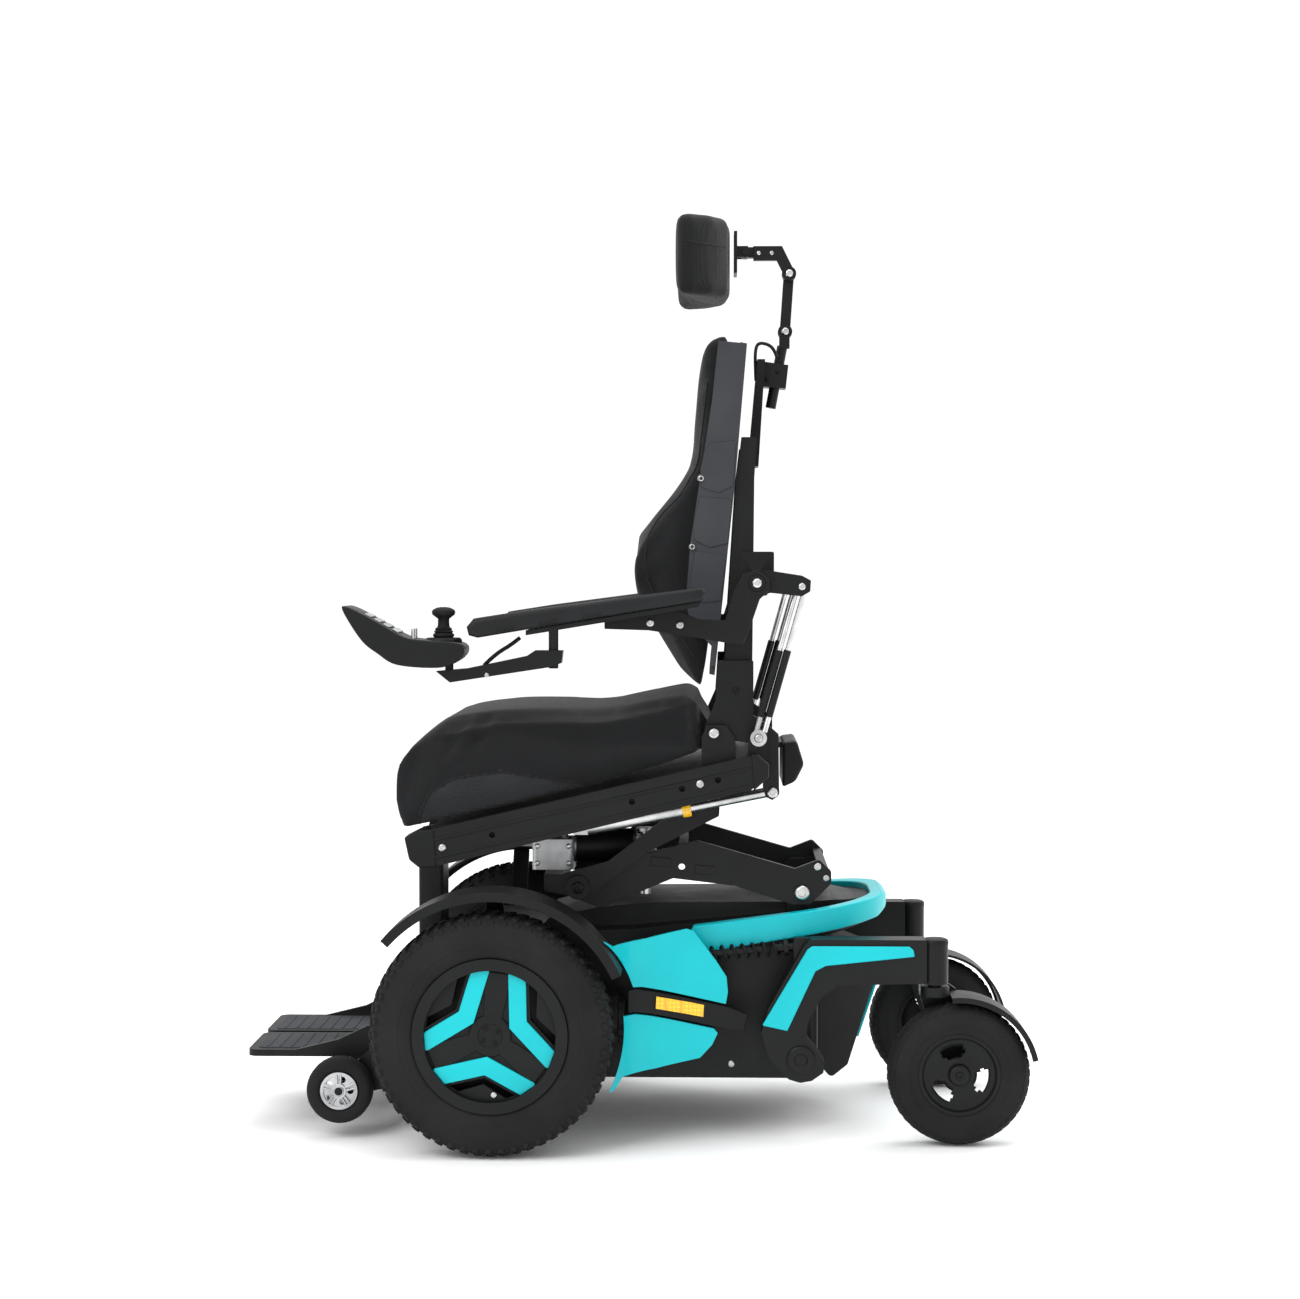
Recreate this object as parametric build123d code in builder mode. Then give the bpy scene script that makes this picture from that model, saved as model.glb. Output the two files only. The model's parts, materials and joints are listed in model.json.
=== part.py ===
from build123d import *
import os
from math import cos, radians, sin

# Front-wheel-drive power wheelchair with powered lift, tilt, recline and legrest.
# Millimetres. +X points to the rear of the chair, +Y to its right, +Z up. The origin is on the
# floor under the middle of the whole chair, and the left side is at negative Y.

os.makedirs("parts", exist_ok=True)

# Driving dimensions
LEFT, RIGHT = -1, 1
SIDES = ((LEFT, "left"), (RIGHT, "right"))
FIT = 0.05  # radial running clearance of a shaft in its bore

DRIVE_AXLE = (-202.0, 178.0)  # x, z
DRIVE_RADIUS, DRIVE_WIDTH, DRIVE_BEAD = 178.0, 76.0, 112.0
DRIVE_TRACK = 574.0
FENDER_OUTER, FENDER_INNER = 208.0, 194.0

CASTER_AXLE = (478.0, 106.0)
CASTER_RADIUS, CASTER_WIDTH, CASTER_BEAD = 106.0, 56.0, 60.0
CASTER_TRACK = 402.0
CASTER_STEM_X, STEM_RADIUS = 443.0, 10.0
ARM_PIVOT = (246.0, 127.0)
ARM_PIVOT_RADIUS = 14.0
ARM_INNER, ARM_OUTER = 182.0, 220.0

SHOCK_Y = 188.0

ANTITIP_AXLE = (-438.0, 72.0)
ANTITIP_RADIUS, ANTITIP_WIDTH, ANTITIP_TRACK = 49.0, 30.0, 370.0

TUB_HALF, TUB_WALL = 150.0, 6.0
TUB_FRONT, TUB_REAR, TUB_FLOOR, TUB_TOP = -232.0, 275.0, 85.0, 290.0

LIFT_REAR = (250.0, 362.0)
LIFT_FRONT = (-85.0, 371.0)
TILT_PIVOT = (105.0, 492.0)
RECLINE_PIVOT = (118.0, 606.0)
RECLINE_PIN = (204.0, 518.0)
ROD_SLOPE = 0.2  # rise over run of the recline actuator
ROD_Y, ROD_RADIUS, TUBE_RADIUS = -178.0, 7.5, 11.5
ARMREST_PIVOT = (180.0, 826.0)
LEVER_REACH = (65.0, -5.0)  # from the armrest pivot to the strut's top pin
EARS = (110.0, 122.0)  # distances from the middle: chassis ears, lift arm, carriage, seat lugs
LIFT_PLATES = (128.0, 138.0)
CARRIAGE_PLATES = (142.0, 150.0)
SEAT_LUGS = (153.0, 161.0)
LEGREST_PIVOT = (-318.0, 424.0)
FOOT_HINGE = (-372.0, 118.0)

RAIL_INNER, RAIL_OUTER = 205.0, 240.0
SEAT_SLOPE = 0.233
SEAT_HALF, NOTCH_X, NOTCH_HALF = 222.0, 70.0, 168.0
ARMREST_Y = 285.0
HEADREST_BALL = (165.0, 1334.0)
HEADREST_ELBOW = (233.0, 1301.0)
HEADREST_KNEE = (227.0, 1212.0)
SWING_PIVOT = (-112.0, 716.0)
STICK_PIVOT = (-270.0, 738.0)
MODULE_PIVOT = (-262.0, 696.0)


def seat_height(x):
    """Height of the seat rails' top edge."""
    return 463.0 + SEAT_SLOPE * (x + 310.0)


def band(side, inner, outer):
    """The y range between two distances from the middle, on one side."""
    return sorted((side * inner, side * outer))


def plate(outline, y_range, rounding=0.0, mode=Mode.ADD):
    """Extrude a side outline of (x, z) points through a y range."""
    low, high = y_range
    with BuildSketch(Plane.XZ.offset(-high)) as profile:
        with BuildLine():
            Polyline(*outline, close=True)
        make_face()
        if rounding:
            fillet(profile.vertices(), rounding)
    extrude(profile.sketch, amount=high - low, mode=mode)


def cross_pin(centre, radius, y_range, mode=Mode.ADD):
    """A cylinder along Y about an (x, z) centre."""
    low, high = y_range
    with BuildSketch(Plane.XZ.offset(-high)) as profile:
        with Locations(centre):
            Circle(radius)
    extrude(profile.sketch, amount=high - low, mode=mode)


def block(x_range, y_range, z_range, rounding=0.0, mode=Mode.ADD):
    """A box between two corners, with its upright edges rounded if asked."""
    with BuildSketch(Plane.XY.offset(z_range[0])) as profile:
        with Locations(((x_range[0] + x_range[1]) / 2, (y_range[0] + y_range[1]) / 2)):
            Rectangle(x_range[1] - x_range[0], y_range[1] - y_range[0])
        if rounding:
            fillet(profile.vertices(), rounding)
    extrude(profile.sketch, amount=z_range[1] - z_range[0], mode=mode)


def rod(start, end, radius, mode=Mode.ADD):
    """A cylinder between two points."""
    start, end = Vector(*start), Vector(*end)
    with BuildSketch(Plane(origin=start, z_dir=end - start)) as profile:
        Circle(radius)
    extrude(profile.sketch, amount=(end - start).length, mode=mode)


def ring_profile(centre, boxes, mode=Mode.ADD):
    """Revolve (y range, radius range) boxes about the Y axis through a centre."""
    with BuildSketch(Plane(origin=centre, x_dir=(0, 1, 0), z_dir=(1, 0, 0))) as profile:
        for (y_low, y_high), (r_low, r_high) in boxes:
            with Locations(((y_low + y_high) / 2, (r_low + r_high) / 2)):
                Rectangle(y_high - y_low, r_high - r_low)
    revolve(profile.sketch, axis=Axis(centre, (0, 1, 0)), mode=mode)


def rounded_tyre(centre, bead, radius, width, corner):
    """Revolve a rounded tyre section about the Y axis through a centre."""
    with BuildSketch(Plane(origin=centre, x_dir=(0, 1, 0), z_dir=(1, 0, 0))) as profile:
        with Locations((0, (bead + radius) / 2)):
            RectangleRounded(width, radius - bead, corner)
    revolve(profile.sketch, axis=Axis(centre, (0, 1, 0)))


def plan(outline, z_range, rounding=0.0, mode=Mode.ADD):
    """Extrude a plan outline of (x, y) points through a z range."""
    with BuildSketch(Plane.XY.offset(z_range[0])) as profile:
        with BuildLine():
            Polyline(*outline, close=True)
        make_face()
        if rounding:
            fillet(profile.vertices(), rounding)
    extrude(profile.sketch, amount=z_range[1] - z_range[0], mode=mode)


def tail_plan(half, front, rear, corner, z_range, mode=Mode.ADD):
    """Extrude a plan with square front corners and large round rear corners."""
    with BuildSketch(Plane.XY.offset(z_range[0])) as profile:
        with Locations(((front + rear) / 2, 0)):
            Rectangle(rear - front, 2 * half)
        fillet(profile.vertices().group_by(Axis.X)[-1], corner)
    extrude(profile.sketch, amount=z_range[1] - z_range[0], mode=mode)


def save(name, *pieces):
    """Write one node's finished piece or pieces."""
    shapes = [piece.part for piece in pieces]
    node = shapes[0] if len(shapes) == 1 else Compound(children=shapes)
    node.label = name
    export_step(node, f"parts/{name}.step")


# ---------------------------------------------------------------- base

with BuildPart() as chassis_tub:
    block((TUB_FRONT, TUB_REAR), (-TUB_HALF, TUB_HALF), (TUB_FLOOR, TUB_TOP), 12)
    block(
        (TUB_FRONT + TUB_WALL, TUB_REAR - TUB_WALL),
        (-TUB_HALF + TUB_WALL, TUB_HALF - TUB_WALL),
        (TUB_FLOOR + TUB_WALL, TUB_TOP),
        mode=Mode.SUBTRACT,
    )
    block((206, TUB_REAR - 1), (-TUB_HALF + 1, TUB_HALF - 1), (TUB_TOP - 8, TUB_TOP))
    for side, _ in SIDES:
        cross_pin(ARM_PIVOT, ARM_PIVOT_RADIUS, band(side, TUB_HALF - 2, ARM_OUTER - 4))
        # lugs for the side panels and the shock absorber
        block((40, 120), band(side, TUB_HALF - 2, 194), (165, 215))
        block((76, 92), band(side, TUB_HALF - 2, SHOCK_Y + 10), (262, 284))
        # seat of the gearmotor
        block((-215, -60), band(side, TUB_HALF - 2, 156), (124, 200))

# bolted to the tub: ears for the lift arm's rear pivot, and anti-tip legs with stub axles
lift_ears, antitip_legs = [], []
for side, _ in SIDES:
    with BuildPart() as lift_ear:
        plate(
            [(226, TUB_TOP), (269, TUB_TOP), (269, 376), (262, 384), (238, 384), (230, 376)],
            band(side, *EARS),
        )
        cross_pin(LIFT_REAR, 10, band(side, EARS[0], LIFT_PLATES[1] + 2))
    lift_ears.append(lift_ear)
    x, z = ANTITIP_AXLE
    with BuildPart() as antitip_leg:
        plate(
            [(-264, 240), (-264, 123), (-170, 123), (-170, 92), (-260, 92), (x, z - 16),
             (x - 14, z - 8), (x - 14, z + 8), (x, z + 18), (-330, 190), (-275, 240)],
            band(side, TUB_HALF, TUB_HALF + 14),
        )
        cross_pin(ANTITIP_AXLE, 6, band(side, TUB_HALF + 10, ANTITIP_TRACK / 2 + 17))
    antitip_legs.append(antitip_leg)

with BuildPart() as battery_front:
    block((-222, 2), (-134, 134), (TUB_FLOOR + TUB_WALL, 262), 6)
with BuildPart() as battery_rear:
    block((10, 234), (-134, 134), (TUB_FLOOR + TUB_WALL, 262), 6)
for battery, centre_x in ((battery_front, -110), (battery_rear, 122)):
    with battery:
        with BuildSketch(Plane.XY.offset(262)) as terminals:
            with Locations((centre_x - 75, -100), (centre_x + 75, -100)):
                Circle(9)
        extrude(terminals.sketch, amount=12)

gearmotors = []
for side, _ in SIDES:
    with BuildPart() as gearmotor:
        block((-262, -140), band(side, 156, 240), (124, 232), 8)
        rod((-140, side * 198, 186), (-22, side * 198, 186), 40)
        rod((-22, side * 198, 186), (-12, side * 198, 186), 30)
        cross_pin(DRIVE_AXLE, 12 + FIT, band(side, 204, 240), mode=Mode.SUBTRACT)
    gearmotors.append(gearmotor)

# the top cover follows a boat-tail plan and rises to the rear
COVER_SIDE = [(-236, 290), (250, 290), (372, 316), (372, 344), (200, 326), (0, 308), (-236, 300)]
CROWN_SIDE = [
    (-150, 296), (-132, 318), (-60, 334), (20, 342), (300, 345), (334, 342), (345, 336),
    (345, 322), (250, 300),
]
with BuildPart() as cover_crown:
    tail_plan(105, -150, 345, 100, (290, 380))
    plate(CROWN_SIDE, (-200, 200), mode=Mode.INTERSECT)
with BuildPart() as top_cover:
    tail_plan(149.5, -236, 357, 121.5, (290, 380))
    plate(COVER_SIDE, (-200, 200), mode=Mode.INTERSECT)
    add(cover_crown.part)
    for side, _ in SIDES:
        block((222, 274), band(side, 108, 124), (280, 380), mode=Mode.SUBTRACT)

TRIM_SIDE = [(80, 300), (101, 276), (366, 321), (383, 332), (383, 350), (374, 354), (88, 316)]
with BuildPart() as rim_trim:
    tail_plan(172, 80, 383, 140, (270, 380))
    tail_plan(150, 60, 358, 122, (270, 380), mode=Mode.SUBTRACT)
    plate(TRIM_SIDE, (-200, 200), mode=Mode.INTERSECT)
with BuildPart() as tail_panel:
    plate([(372, 236), (377, 234), (341, 126), (336, 128)], (-44, 44))

# side fairing: a strip in plan that flares out behind the wheel, cut to the side outlines
FAIRING_INNER = ((172, 194), (140, 198), (80, 206), (20, 222), (-14, 252), (-40, 300))
UPPER_PANEL = [(-44, 317), (-28, 302), (19, 306), (78, 318), (88, 315), (121, 271),
               (137, 246), (139, 224), (136, 206), (12, 236), (-40, 240)]
LOWER_PANEL = [(-40, 196), (3, 197), (118, 170), (124, 163), (116, 146), (98, 127), (34, 114),
               (-14, 109), (-24, 94), (-40, 90)]
SIDE_BAND = [
    (-6, 233), (3, 234), (139, 202), (169, 190), (163, 166), (126, 172), (2, 201), (-6, 201),
]


def fairing_strip(side, lift, thickness, z_range):
    """The fairing's plan strip on one side, lifted outwards and given a thickness."""
    inner = [(x, side * (y + lift)) for x, y in FAIRING_INNER]
    outer = [(x + thickness * 0.35, side * (y + lift + thickness)) for x, y in FAIRING_INNER]
    with BuildSketch(Plane.XY.offset(z_range[0])) as strip:
        with BuildLine():
            near = Spline(*inner)
            far = Spline(*outer)
            Line(near @ 0, far @ 0)
            Line(near @ 1, far @ 1)
        make_face()
    extrude(strip.sketch, amount=z_range[1] - z_range[0])


side_panels, side_bands = [], []
for side, _ in SIDES:
    for outline, clearance in ((UPPER_PANEL, 211), (LOWER_PANEL, 190)):
        with BuildPart() as panel:
            fairing_strip(side, 0, 5, (80, 330))
            plate(outline, band(side, 180, 330), mode=Mode.INTERSECT)
            cross_pin(DRIVE_AXLE, clearance, band(side, 180, 330), mode=Mode.SUBTRACT)
        side_panels.append(panel)
    with BuildPart() as side_band:
        fairing_strip(side, 0.5, 8, (80, 330))
        plate(SIDE_BAND, band(side, 180, 330), mode=Mode.INTERSECT)
        cross_pin(DRIVE_AXLE, 196, band(side, 180, 330), mode=Mode.SUBTRACT)
    side_bands.append(side_band)

fenders = []
for side, _ in SIDES:
    centre = (DRIVE_AXLE[0], side * DRIVE_TRACK / 2, DRIVE_AXLE[1])
    with BuildPart() as fender:
        ring_profile(
            centre,
            [
                (band(side, -42, 36), (FENDER_OUTER - 4, FENDER_OUTER)),
                (band(side, 32, 36), (FENDER_INNER, FENDER_OUTER)),
            ],
        )
        # keep the arc over the wheel, from behind it to its front
        x, z = DRIVE_AXLE
        plate(
            [(x, z), (x + 400, z + 190), (x + 400, 500), (x - 300, 500), (x - 300, z + 264)],
            band(side, 230, 340),
            mode=Mode.INTERSECT,
        )
        # stay to the chassis
        with BuildSketch(Plane.YZ.offset(-215)) as stay:
            with BuildLine():
                Polyline(
                    (side * TUB_HALF, 246), (side * TUB_HALF, 268), (side * 170, 278),
                    (side * 250, 385), (side * 250, 371), (side * 178, 266), (side * 160, 246),
                    close=True,
                )
            make_face()
        extrude(stay.sketch, amount=26)
    fenders.append(fender)

with BuildPart() as tail_cover:
    plate(
        [(276, 100), (296, 76), (322, 92), (334, 126), (370, 234), (362, 262), (276, 286)],
        (-148, 148),
    )
    for side, _ in SIDES:
        plan(
            [(238, side * 148), (360, side * 56), (380, side * 56), (380, side * 170),
             (238, side * 170)],
            (60, 300),
            mode=Mode.SUBTRACT,
        )
    fillet(tail_cover.edges().filter_by(Axis.Y).group_by(Axis.Z)[0], 8)
    block((268, 340), (-52, 52), (110, 262), mode=Mode.SUBTRACT)

def on_shock(side, x):
    """A point on one shock absorber's axis."""
    return (x, side * SHOCK_Y, 276 + 0.085 * (x - 92))


shock_absorbers = []
for side, _ in SIDES:
    with BuildPart() as shock_absorber:
        rod(on_shock(side, 92), on_shock(side, 190), 5)
        rod(on_shock(side, 92), on_shock(side, 98), 12)
    shock_absorbers.append(shock_absorber)

save("chassis_frame", chassis_tub, *lift_ears, *antitip_legs, *shock_absorbers)
save("batteries", battery_front, battery_rear)
save("drive_motors", *gearmotors)
save("top_cover", top_cover)
save("top_trim", rim_trim, tail_panel)
save("side_panels", *side_panels)
save("side_bands", *side_bands)
save("wheel_fenders", *fenders)
save("tail_cover", tail_cover)

# ---------------------------------------------------------------- wheels

SPOKE_ANGLES = (22.0, 142.0, 262.0)  # middle of each window, about the axle
CHEVRON = [(30, 0), (59, 76), (78, 55), (57, 0), (78, -55), (59, -76)]
WINDOW = [(62, 0), (80, 48), (87, 35), (71, 0), (87, -35), (80, -48)]


def turned(outline, angle, mirror):
    """Outline points turned about the axle, mirrored on the right-hand side."""
    turn = radians(angle)
    return [
        (mirror * (x * cos(turn) - z * sin(turn)), x * sin(turn) + z * cos(turn))
        for x, z in outline
    ]


for side, label in SIDES:
    centre_y = side * DRIVE_TRACK / 2
    centre = (DRIVE_AXLE[0], centre_y, DRIVE_AXLE[1])
    with BuildPart() as drive_tyre:
        rounded_tyre(centre, DRIVE_BEAD, DRIVE_RADIUS, DRIVE_WIDTH, 24)
    save(f"drive_tyre_{label}", drive_tyre)

    with BuildPart() as drive_rim:
        ring_profile(
            centre,
            [
                (band(side, -30, 34), (104, DRIVE_BEAD)),
                (band(side, 24, 34), (95, DRIVE_BEAD)),
                (band(side, 14, 22), (0, 105)),
            ],
        )
        cross_pin(DRIVE_AXLE, 28, band(side, DRIVE_TRACK / 2 - 30, DRIVE_TRACK / 2 + 16))
        cross_pin(DRIVE_AXLE, 12, band(side, 208, DRIVE_TRACK / 2))
        for angle in SPOKE_ANGLES:
            outline = [
                (DRIVE_AXLE[0] + x, DRIVE_AXLE[1] + z) for x, z in turned(WINDOW, angle, -side)
            ]
            plate(outline, band(side, 290, 330), mode=Mode.SUBTRACT)
    chevrons = []
    for angle in SPOKE_ANGLES:
        with BuildPart() as chevron:
            outline = [
                (DRIVE_AXLE[0] + x, DRIVE_AXLE[1] + z) for x, z in turned(CHEVRON, angle, -side)
            ]
            plate(outline, band(side, DRIVE_TRACK / 2 + 22, DRIVE_TRACK / 2 + 27), 3)
        chevrons.append(chevron)
    save(f"drive_rim_{label}", drive_rim, *chevrons)

    centre = (ANTITIP_AXLE[0], side * ANTITIP_TRACK / 2, ANTITIP_AXLE[1])
    with BuildPart() as antitip_tyre:
        rounded_tyre(centre, 28, ANTITIP_RADIUS, ANTITIP_WIDTH, 8)
    with BuildPart() as antitip_rim:
        ring_profile(
            centre,
            [
                (band(side, -11, 14), (23, 28)),
                (band(side, 8, 12), (10, 24)),
                (band(side, -13, 15), (6 + FIT, 11)),
            ],
        )
        with BuildSketch(Plane.XZ.offset(-centre[1])) as holes:
            with Locations(ANTITIP_AXLE):
                with PolarLocations(17, 5):
                    Circle(4.6)
        extrude(holes.sketch, amount=30, both=True, mode=Mode.SUBTRACT)
    save(f"antitip_wheel_{label}", antitip_tyre, antitip_rim)

# ---------------------------------------------------------------- rear suspension and casters

ARM_OUTLINE = [
    (188, 166), (198, 202), (250, 294), (262, 304), (430, 304), (430, 240), (300, 237), (276, 219),
    (256, 182), (254, 160), (281, 124), (279, 108), (262, 96), (245, 93), (228, 98), (200, 128),
]
ARM_PANEL = [
    (189, 178), (255, 290), (262, 295), (404, 295), (410, 290), (412, 280), (282, 266), (267, 258),
    (226, 170),
]

for side, label in SIDES:
    stem_y = side * (ARM_INNER + ARM_OUTER) / 2
    with BuildPart() as caster_arm:
        plate(ARM_OUTLINE, band(side, ARM_INNER, ARM_OUTER), 3)
        rod((CASTER_STEM_X, stem_y, 238), (CASTER_STEM_X, stem_y, 296), 19.5)
        rod((CASTER_STEM_X, stem_y, 296), (CASTER_STEM_X, stem_y, 300), 17)
        stem_foot, stem_head = ((CASTER_STEM_X, stem_y, height) for height in (230, 284))
        rod(stem_foot, stem_head, STEM_RADIUS + FIT, Mode.SUBTRACT)
        bearing = band(side, ARM_INNER - 1, ARM_OUTER - 3)
        cross_pin(ARM_PIVOT, ARM_PIVOT_RADIUS + FIT, bearing, Mode.SUBTRACT)
        # lug and rod for the shock absorber
        block((236, 262), band(side, ARM_INNER, SHOCK_Y + 10), (262, 303))
        rod(on_shock(side, 240), on_shock(side, 208), 6)
        rod(on_shock(side, 222), on_shock(side, 228), 12)
    with BuildPart() as arm_panel:
        plate(ARM_PANEL, band(side, ARM_OUTER, ARM_OUTER + 4), 2)
    save(f"caster_arm_{label}", caster_arm, arm_panel)

    with BuildPart() as coil_spring:
        with BuildLine():
            wire = Helix(
                pitch=15, height=118, radius=10, center=on_shock(side, 101),
                direction=(1, 0, 0.085),
            )
        with BuildSketch(Plane(origin=wire @ 0, z_dir=wire % 0)) as wire_section:
            Circle(1.9)
        sweep(wire_section.sketch, path=wire, is_frenet=True)
    save(f"coil_spring_{label}", coil_spring)

    axle_y = side * CASTER_TRACK / 2
    with BuildPart() as caster_fork:
        rod((CASTER_STEM_X, stem_y, 226), (CASTER_STEM_X, stem_y, 280), STEM_RADIUS)
        rod((CASTER_STEM_X, stem_y, 220), (CASTER_STEM_X, stem_y, 234), 21)
        block((423, 463), band(side, 156, 200), (220, 234), 6)
        plate(
            [(423, 234), (463, 234), (478, 223), (483, 200), (496, 116), (494, 96), (478, 88),
             (462, 96), (458, 116), (424, 214)],
            band(side, 156, 167),
            4,
        )
        cross_pin(CASTER_AXLE, 8, band(side, 160, 226))
    with BuildPart() as mudguard:
        ring_profile(
            (CASTER_AXLE[0], axle_y, CASTER_AXLE[1]),
            [(band(side, -34, 32), (112, 116)), (band(side, 28, 32), (108, 116))],
        )
        x, z = CASTER_AXLE
        plate(
            [(x, z), (x - 14, z + 130), (x + 140, z + 130), (x + 140, z + 30)],
            band(side, 150, 240),
            mode=Mode.INTERSECT,
        )
    save(f"caster_fork_{label}", caster_fork, mudguard)

    centre = (CASTER_AXLE[0], axle_y, CASTER_AXLE[1])
    with BuildPart() as caster_tyre:
        rounded_tyre(centre, CASTER_BEAD, CASTER_RADIUS, CASTER_WIDTH, 20)
    save(f"caster_tyre_{label}", caster_tyre)
    with BuildPart() as caster_hub:
        ring_profile(
            centre,
            [
                (band(side, -20, 22), (54, CASTER_BEAD)),
                (band(side, 12, 18), (10, 56)),
                (band(side, -28, 26), (8 + FIT, 15)),
            ],
        )
    save(f"caster_hub_{label}", caster_hub)

# ---------------------------------------------------------------- lift and tilt

LIFT_OUTLINE = [
    (-103, 368), (-94, 354), (-52, 338), (57, 383), (150, 372), (236, 344), (262, 344), (294, 376),
    (294, 394), (276, 412), (240, 398), (93, 440), (-90, 392),
]
CARRIAGE_OUTLINE = [
    (-136, 365), (-85, 355), (-64, 362), (20, 424), (126, 478), (127, 500), (105, 511), (84, 504),
    (-40, 410), (-110, 390), (-136, 390),
]

with BuildPart() as lift_arm:
    for side, _ in SIDES:
        plate(LIFT_OUTLINE, band(side, *LIFT_PLATES), 6)
        cross_pin(LIFT_REAR, 10 + FIT, band(side, 120, 145), mode=Mode.SUBTRACT)
        cross_pin(LIFT_FRONT, 10 + FIT, band(side, 120, 145), mode=Mode.SUBTRACT)
        cross_pin((70, 400), 5, band(side, 120, 145), mode=Mode.SUBTRACT)
    for corner in ((64, 412), (276, 384)):
        block(
            (corner[0], corner[0] + 14),
            (-LIFT_PLATES[0] - 1, LIFT_PLATES[0] + 1),
            (corner[1], corner[1] + 14),
        )
save("lift_arm", lift_arm)

with BuildPart() as seat_carriage:
    for side, _ in SIDES:
        plate(CARRIAGE_OUTLINE, band(side, *CARRIAGE_PLATES), 4)
        cross_pin(LIFT_FRONT, 10, band(side, LIFT_PLATES[0] - 1, CARRIAGE_PLATES[0] + 1))
        cross_pin(LIFT_FRONT, 18, band(side, CARRIAGE_PLATES[0], CARRIAGE_PLATES[1] + 8))
        cross_pin(TILT_PIVOT, 12, band(side, CARRIAGE_PLATES[0], SEAT_LUGS[1] + 2))
    block((-136, -110), (-CARRIAGE_PLATES[1], CARRIAGE_PLATES[1]), (366, 390))
    block((94, 114), (-CARRIAGE_PLATES[0] - 1, CARRIAGE_PLATES[0] + 1), (484, 500))
save("seat_carriage", seat_carriage)

ACTUATOR_Y = -66.0
SCREW_X, SCREW_RADIUS = 14.0, 8.0
with BuildPart() as tilt_actuator:
    block((-158, -94), (ACTUATOR_Y - 30, ACTUATOR_Y + 30), (390, 436), 8)
    rod((-94, ACTUATOR_Y, 424), (0, ACTUATOR_Y, 424), 25)
    block((-2, 30), (ACTUATOR_Y - 20, ACTUATOR_Y + 20), (396, 440), 4)
    rod((SCREW_X, ACTUATOR_Y, 390), (SCREW_X, ACTUATOR_Y, 440), SCREW_RADIUS + FIT, Mode.SUBTRACT)
save("tilt_actuator", tilt_actuator)
with BuildPart() as tilt_screw:
    rod((SCREW_X, ACTUATOR_Y, 350), (SCREW_X, ACTUATOR_Y, 450), SCREW_RADIUS)
    rod((SCREW_X, ACTUATOR_Y, 446), (SCREW_X, ACTUATOR_Y, 452), 14)
save("tilt_screw", tilt_screw)

# ---------------------------------------------------------------- seat

RAIL_OUTLINE = [
    (-332, 454), (-325, 424), (-311, 412), (-281, 414), (172, 525), (196, 546), (196, 562),
    (180, 576), (156, seat_height(156)), (-310, 463),
]
RAIL_HOLES = ((-205, 459), (-1, 508), (72, 527), (124, 540))
RAIL_HOLE_RADIUS = 4.5
STRUT_FOOT = (RECLINE_PIVOT[0] + LEVER_REACH[0], RECLINE_PIVOT[1] + LEVER_REACH[1])


def under_seat(front, rear, top, bottom):
    """A strip that follows the rails' slope, between two depths below their top edge."""
    return [
        (front, seat_height(front) - bottom), (rear, seat_height(rear) - bottom),
        (rear, seat_height(rear) - top), (front, seat_height(front) - top),
    ]


seat_rails = []
for side, _ in SIDES:
    with BuildPart() as seat_rail:
        plate(RAIL_OUTLINE, band(side, RAIL_INNER, RAIL_OUTER), 2)
        for hole in RAIL_HOLES:
            blind = band(side, RAIL_OUTER - 15, RAIL_OUTER)
            cross_pin(hole, RAIL_HOLE_RADIUS, blind, Mode.SUBTRACT)
        # lugs that carry the back's recline pivot and the foot of the armrest strut
        lug = band(side, RAIL_INNER + 1, RAIL_INNER + 9)
        plate([(100, 548), (152, 556), (148, 600), (136, 618), (108, 618), (100, 600)], lug)
        plate([(166, 560), (196, 548), (196, 604), (188, 613), (178, 613), (170, 604)], lug)
        cross_pin(RECLINE_PIVOT, 8 + FIT, band(side, RAIL_INNER, RAIL_INNER + 10), Mode.SUBTRACT)
        cross_pin(STRUT_FOOT, 5, band(side, RAIL_INNER + 2, RAIL_OUTER + 2))
    seat_rails.append(seat_rail)

with BuildPart() as seat_pan:
    plate(under_seat(-306, 60, 4, 12), (-RAIL_INNER, RAIL_INNER))
    plate(under_seat(58, 176, 4, 12), (-180, 180))
    plate(under_seat(174, 222, 4, 12), (-60, 60))
    plate(under_seat(-292, -272, 4, 40), (-RAIL_INNER, RAIL_INNER))
    for side, _ in SIDES:
        # lugs for the tilt pivot
        plate(
            [(86, 490), (92, 476), (105, 472), (118, 476), (124, 490), (128, 557), (80, 546)],
            band(side, *SEAT_LUGS),
        )
        tilt_lug = band(side, SEAT_LUGS[0] - 1, SEAT_LUGS[1] + 1)
        cross_pin(TILT_PIVOT, 12 + FIT, tilt_lug, Mode.SUBTRACT)
        # lugs for the legrest pivot
        plate(
            [(-338, 424), (-332, 408), (-318, 404), (-304, 408), (-280, 436), (-280, 460),
             (-306, 455), (-330, 450)],
            band(side, 44, 52),
        )
        cross_pin(LEGREST_PIVOT, 9 + FIT, band(side, 43, 53), Mode.SUBTRACT)
save("seat_frame", seat_pan, *seat_rails)

CUSHION_SIDE = [
    (-361, 522), (-363, 552), (-349, 581), (-320, 603), (-276, 622), (-195, 634), (-107, 636),
    (-48, 635), (25, 649), (98, 662), (112, 655), (118, 626), (118, 582), (-31, seat_height(-31)),
    (-310, seat_height(-310)), (-342, 464), (-357, 486),
]
with BuildPart() as seat_cushion:
    plate(CUSHION_SIDE, (-SEAT_HALF, SEAT_HALF))
    for side, _ in SIDES:
        notch = band(side, NOTCH_HALF, SEAT_HALF + 10)
        block((NOTCH_X, 140), notch, (450, 700), mode=Mode.SUBTRACT)
save("seat_cushion", seat_cushion)

with BuildPart() as power_module:
    plate([(222, 583), (244, 586), (255, 550), (242, 524), (222, 515)], (-85, 85))
save("power_module", power_module)

# ---------------------------------------------------------------- back

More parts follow.
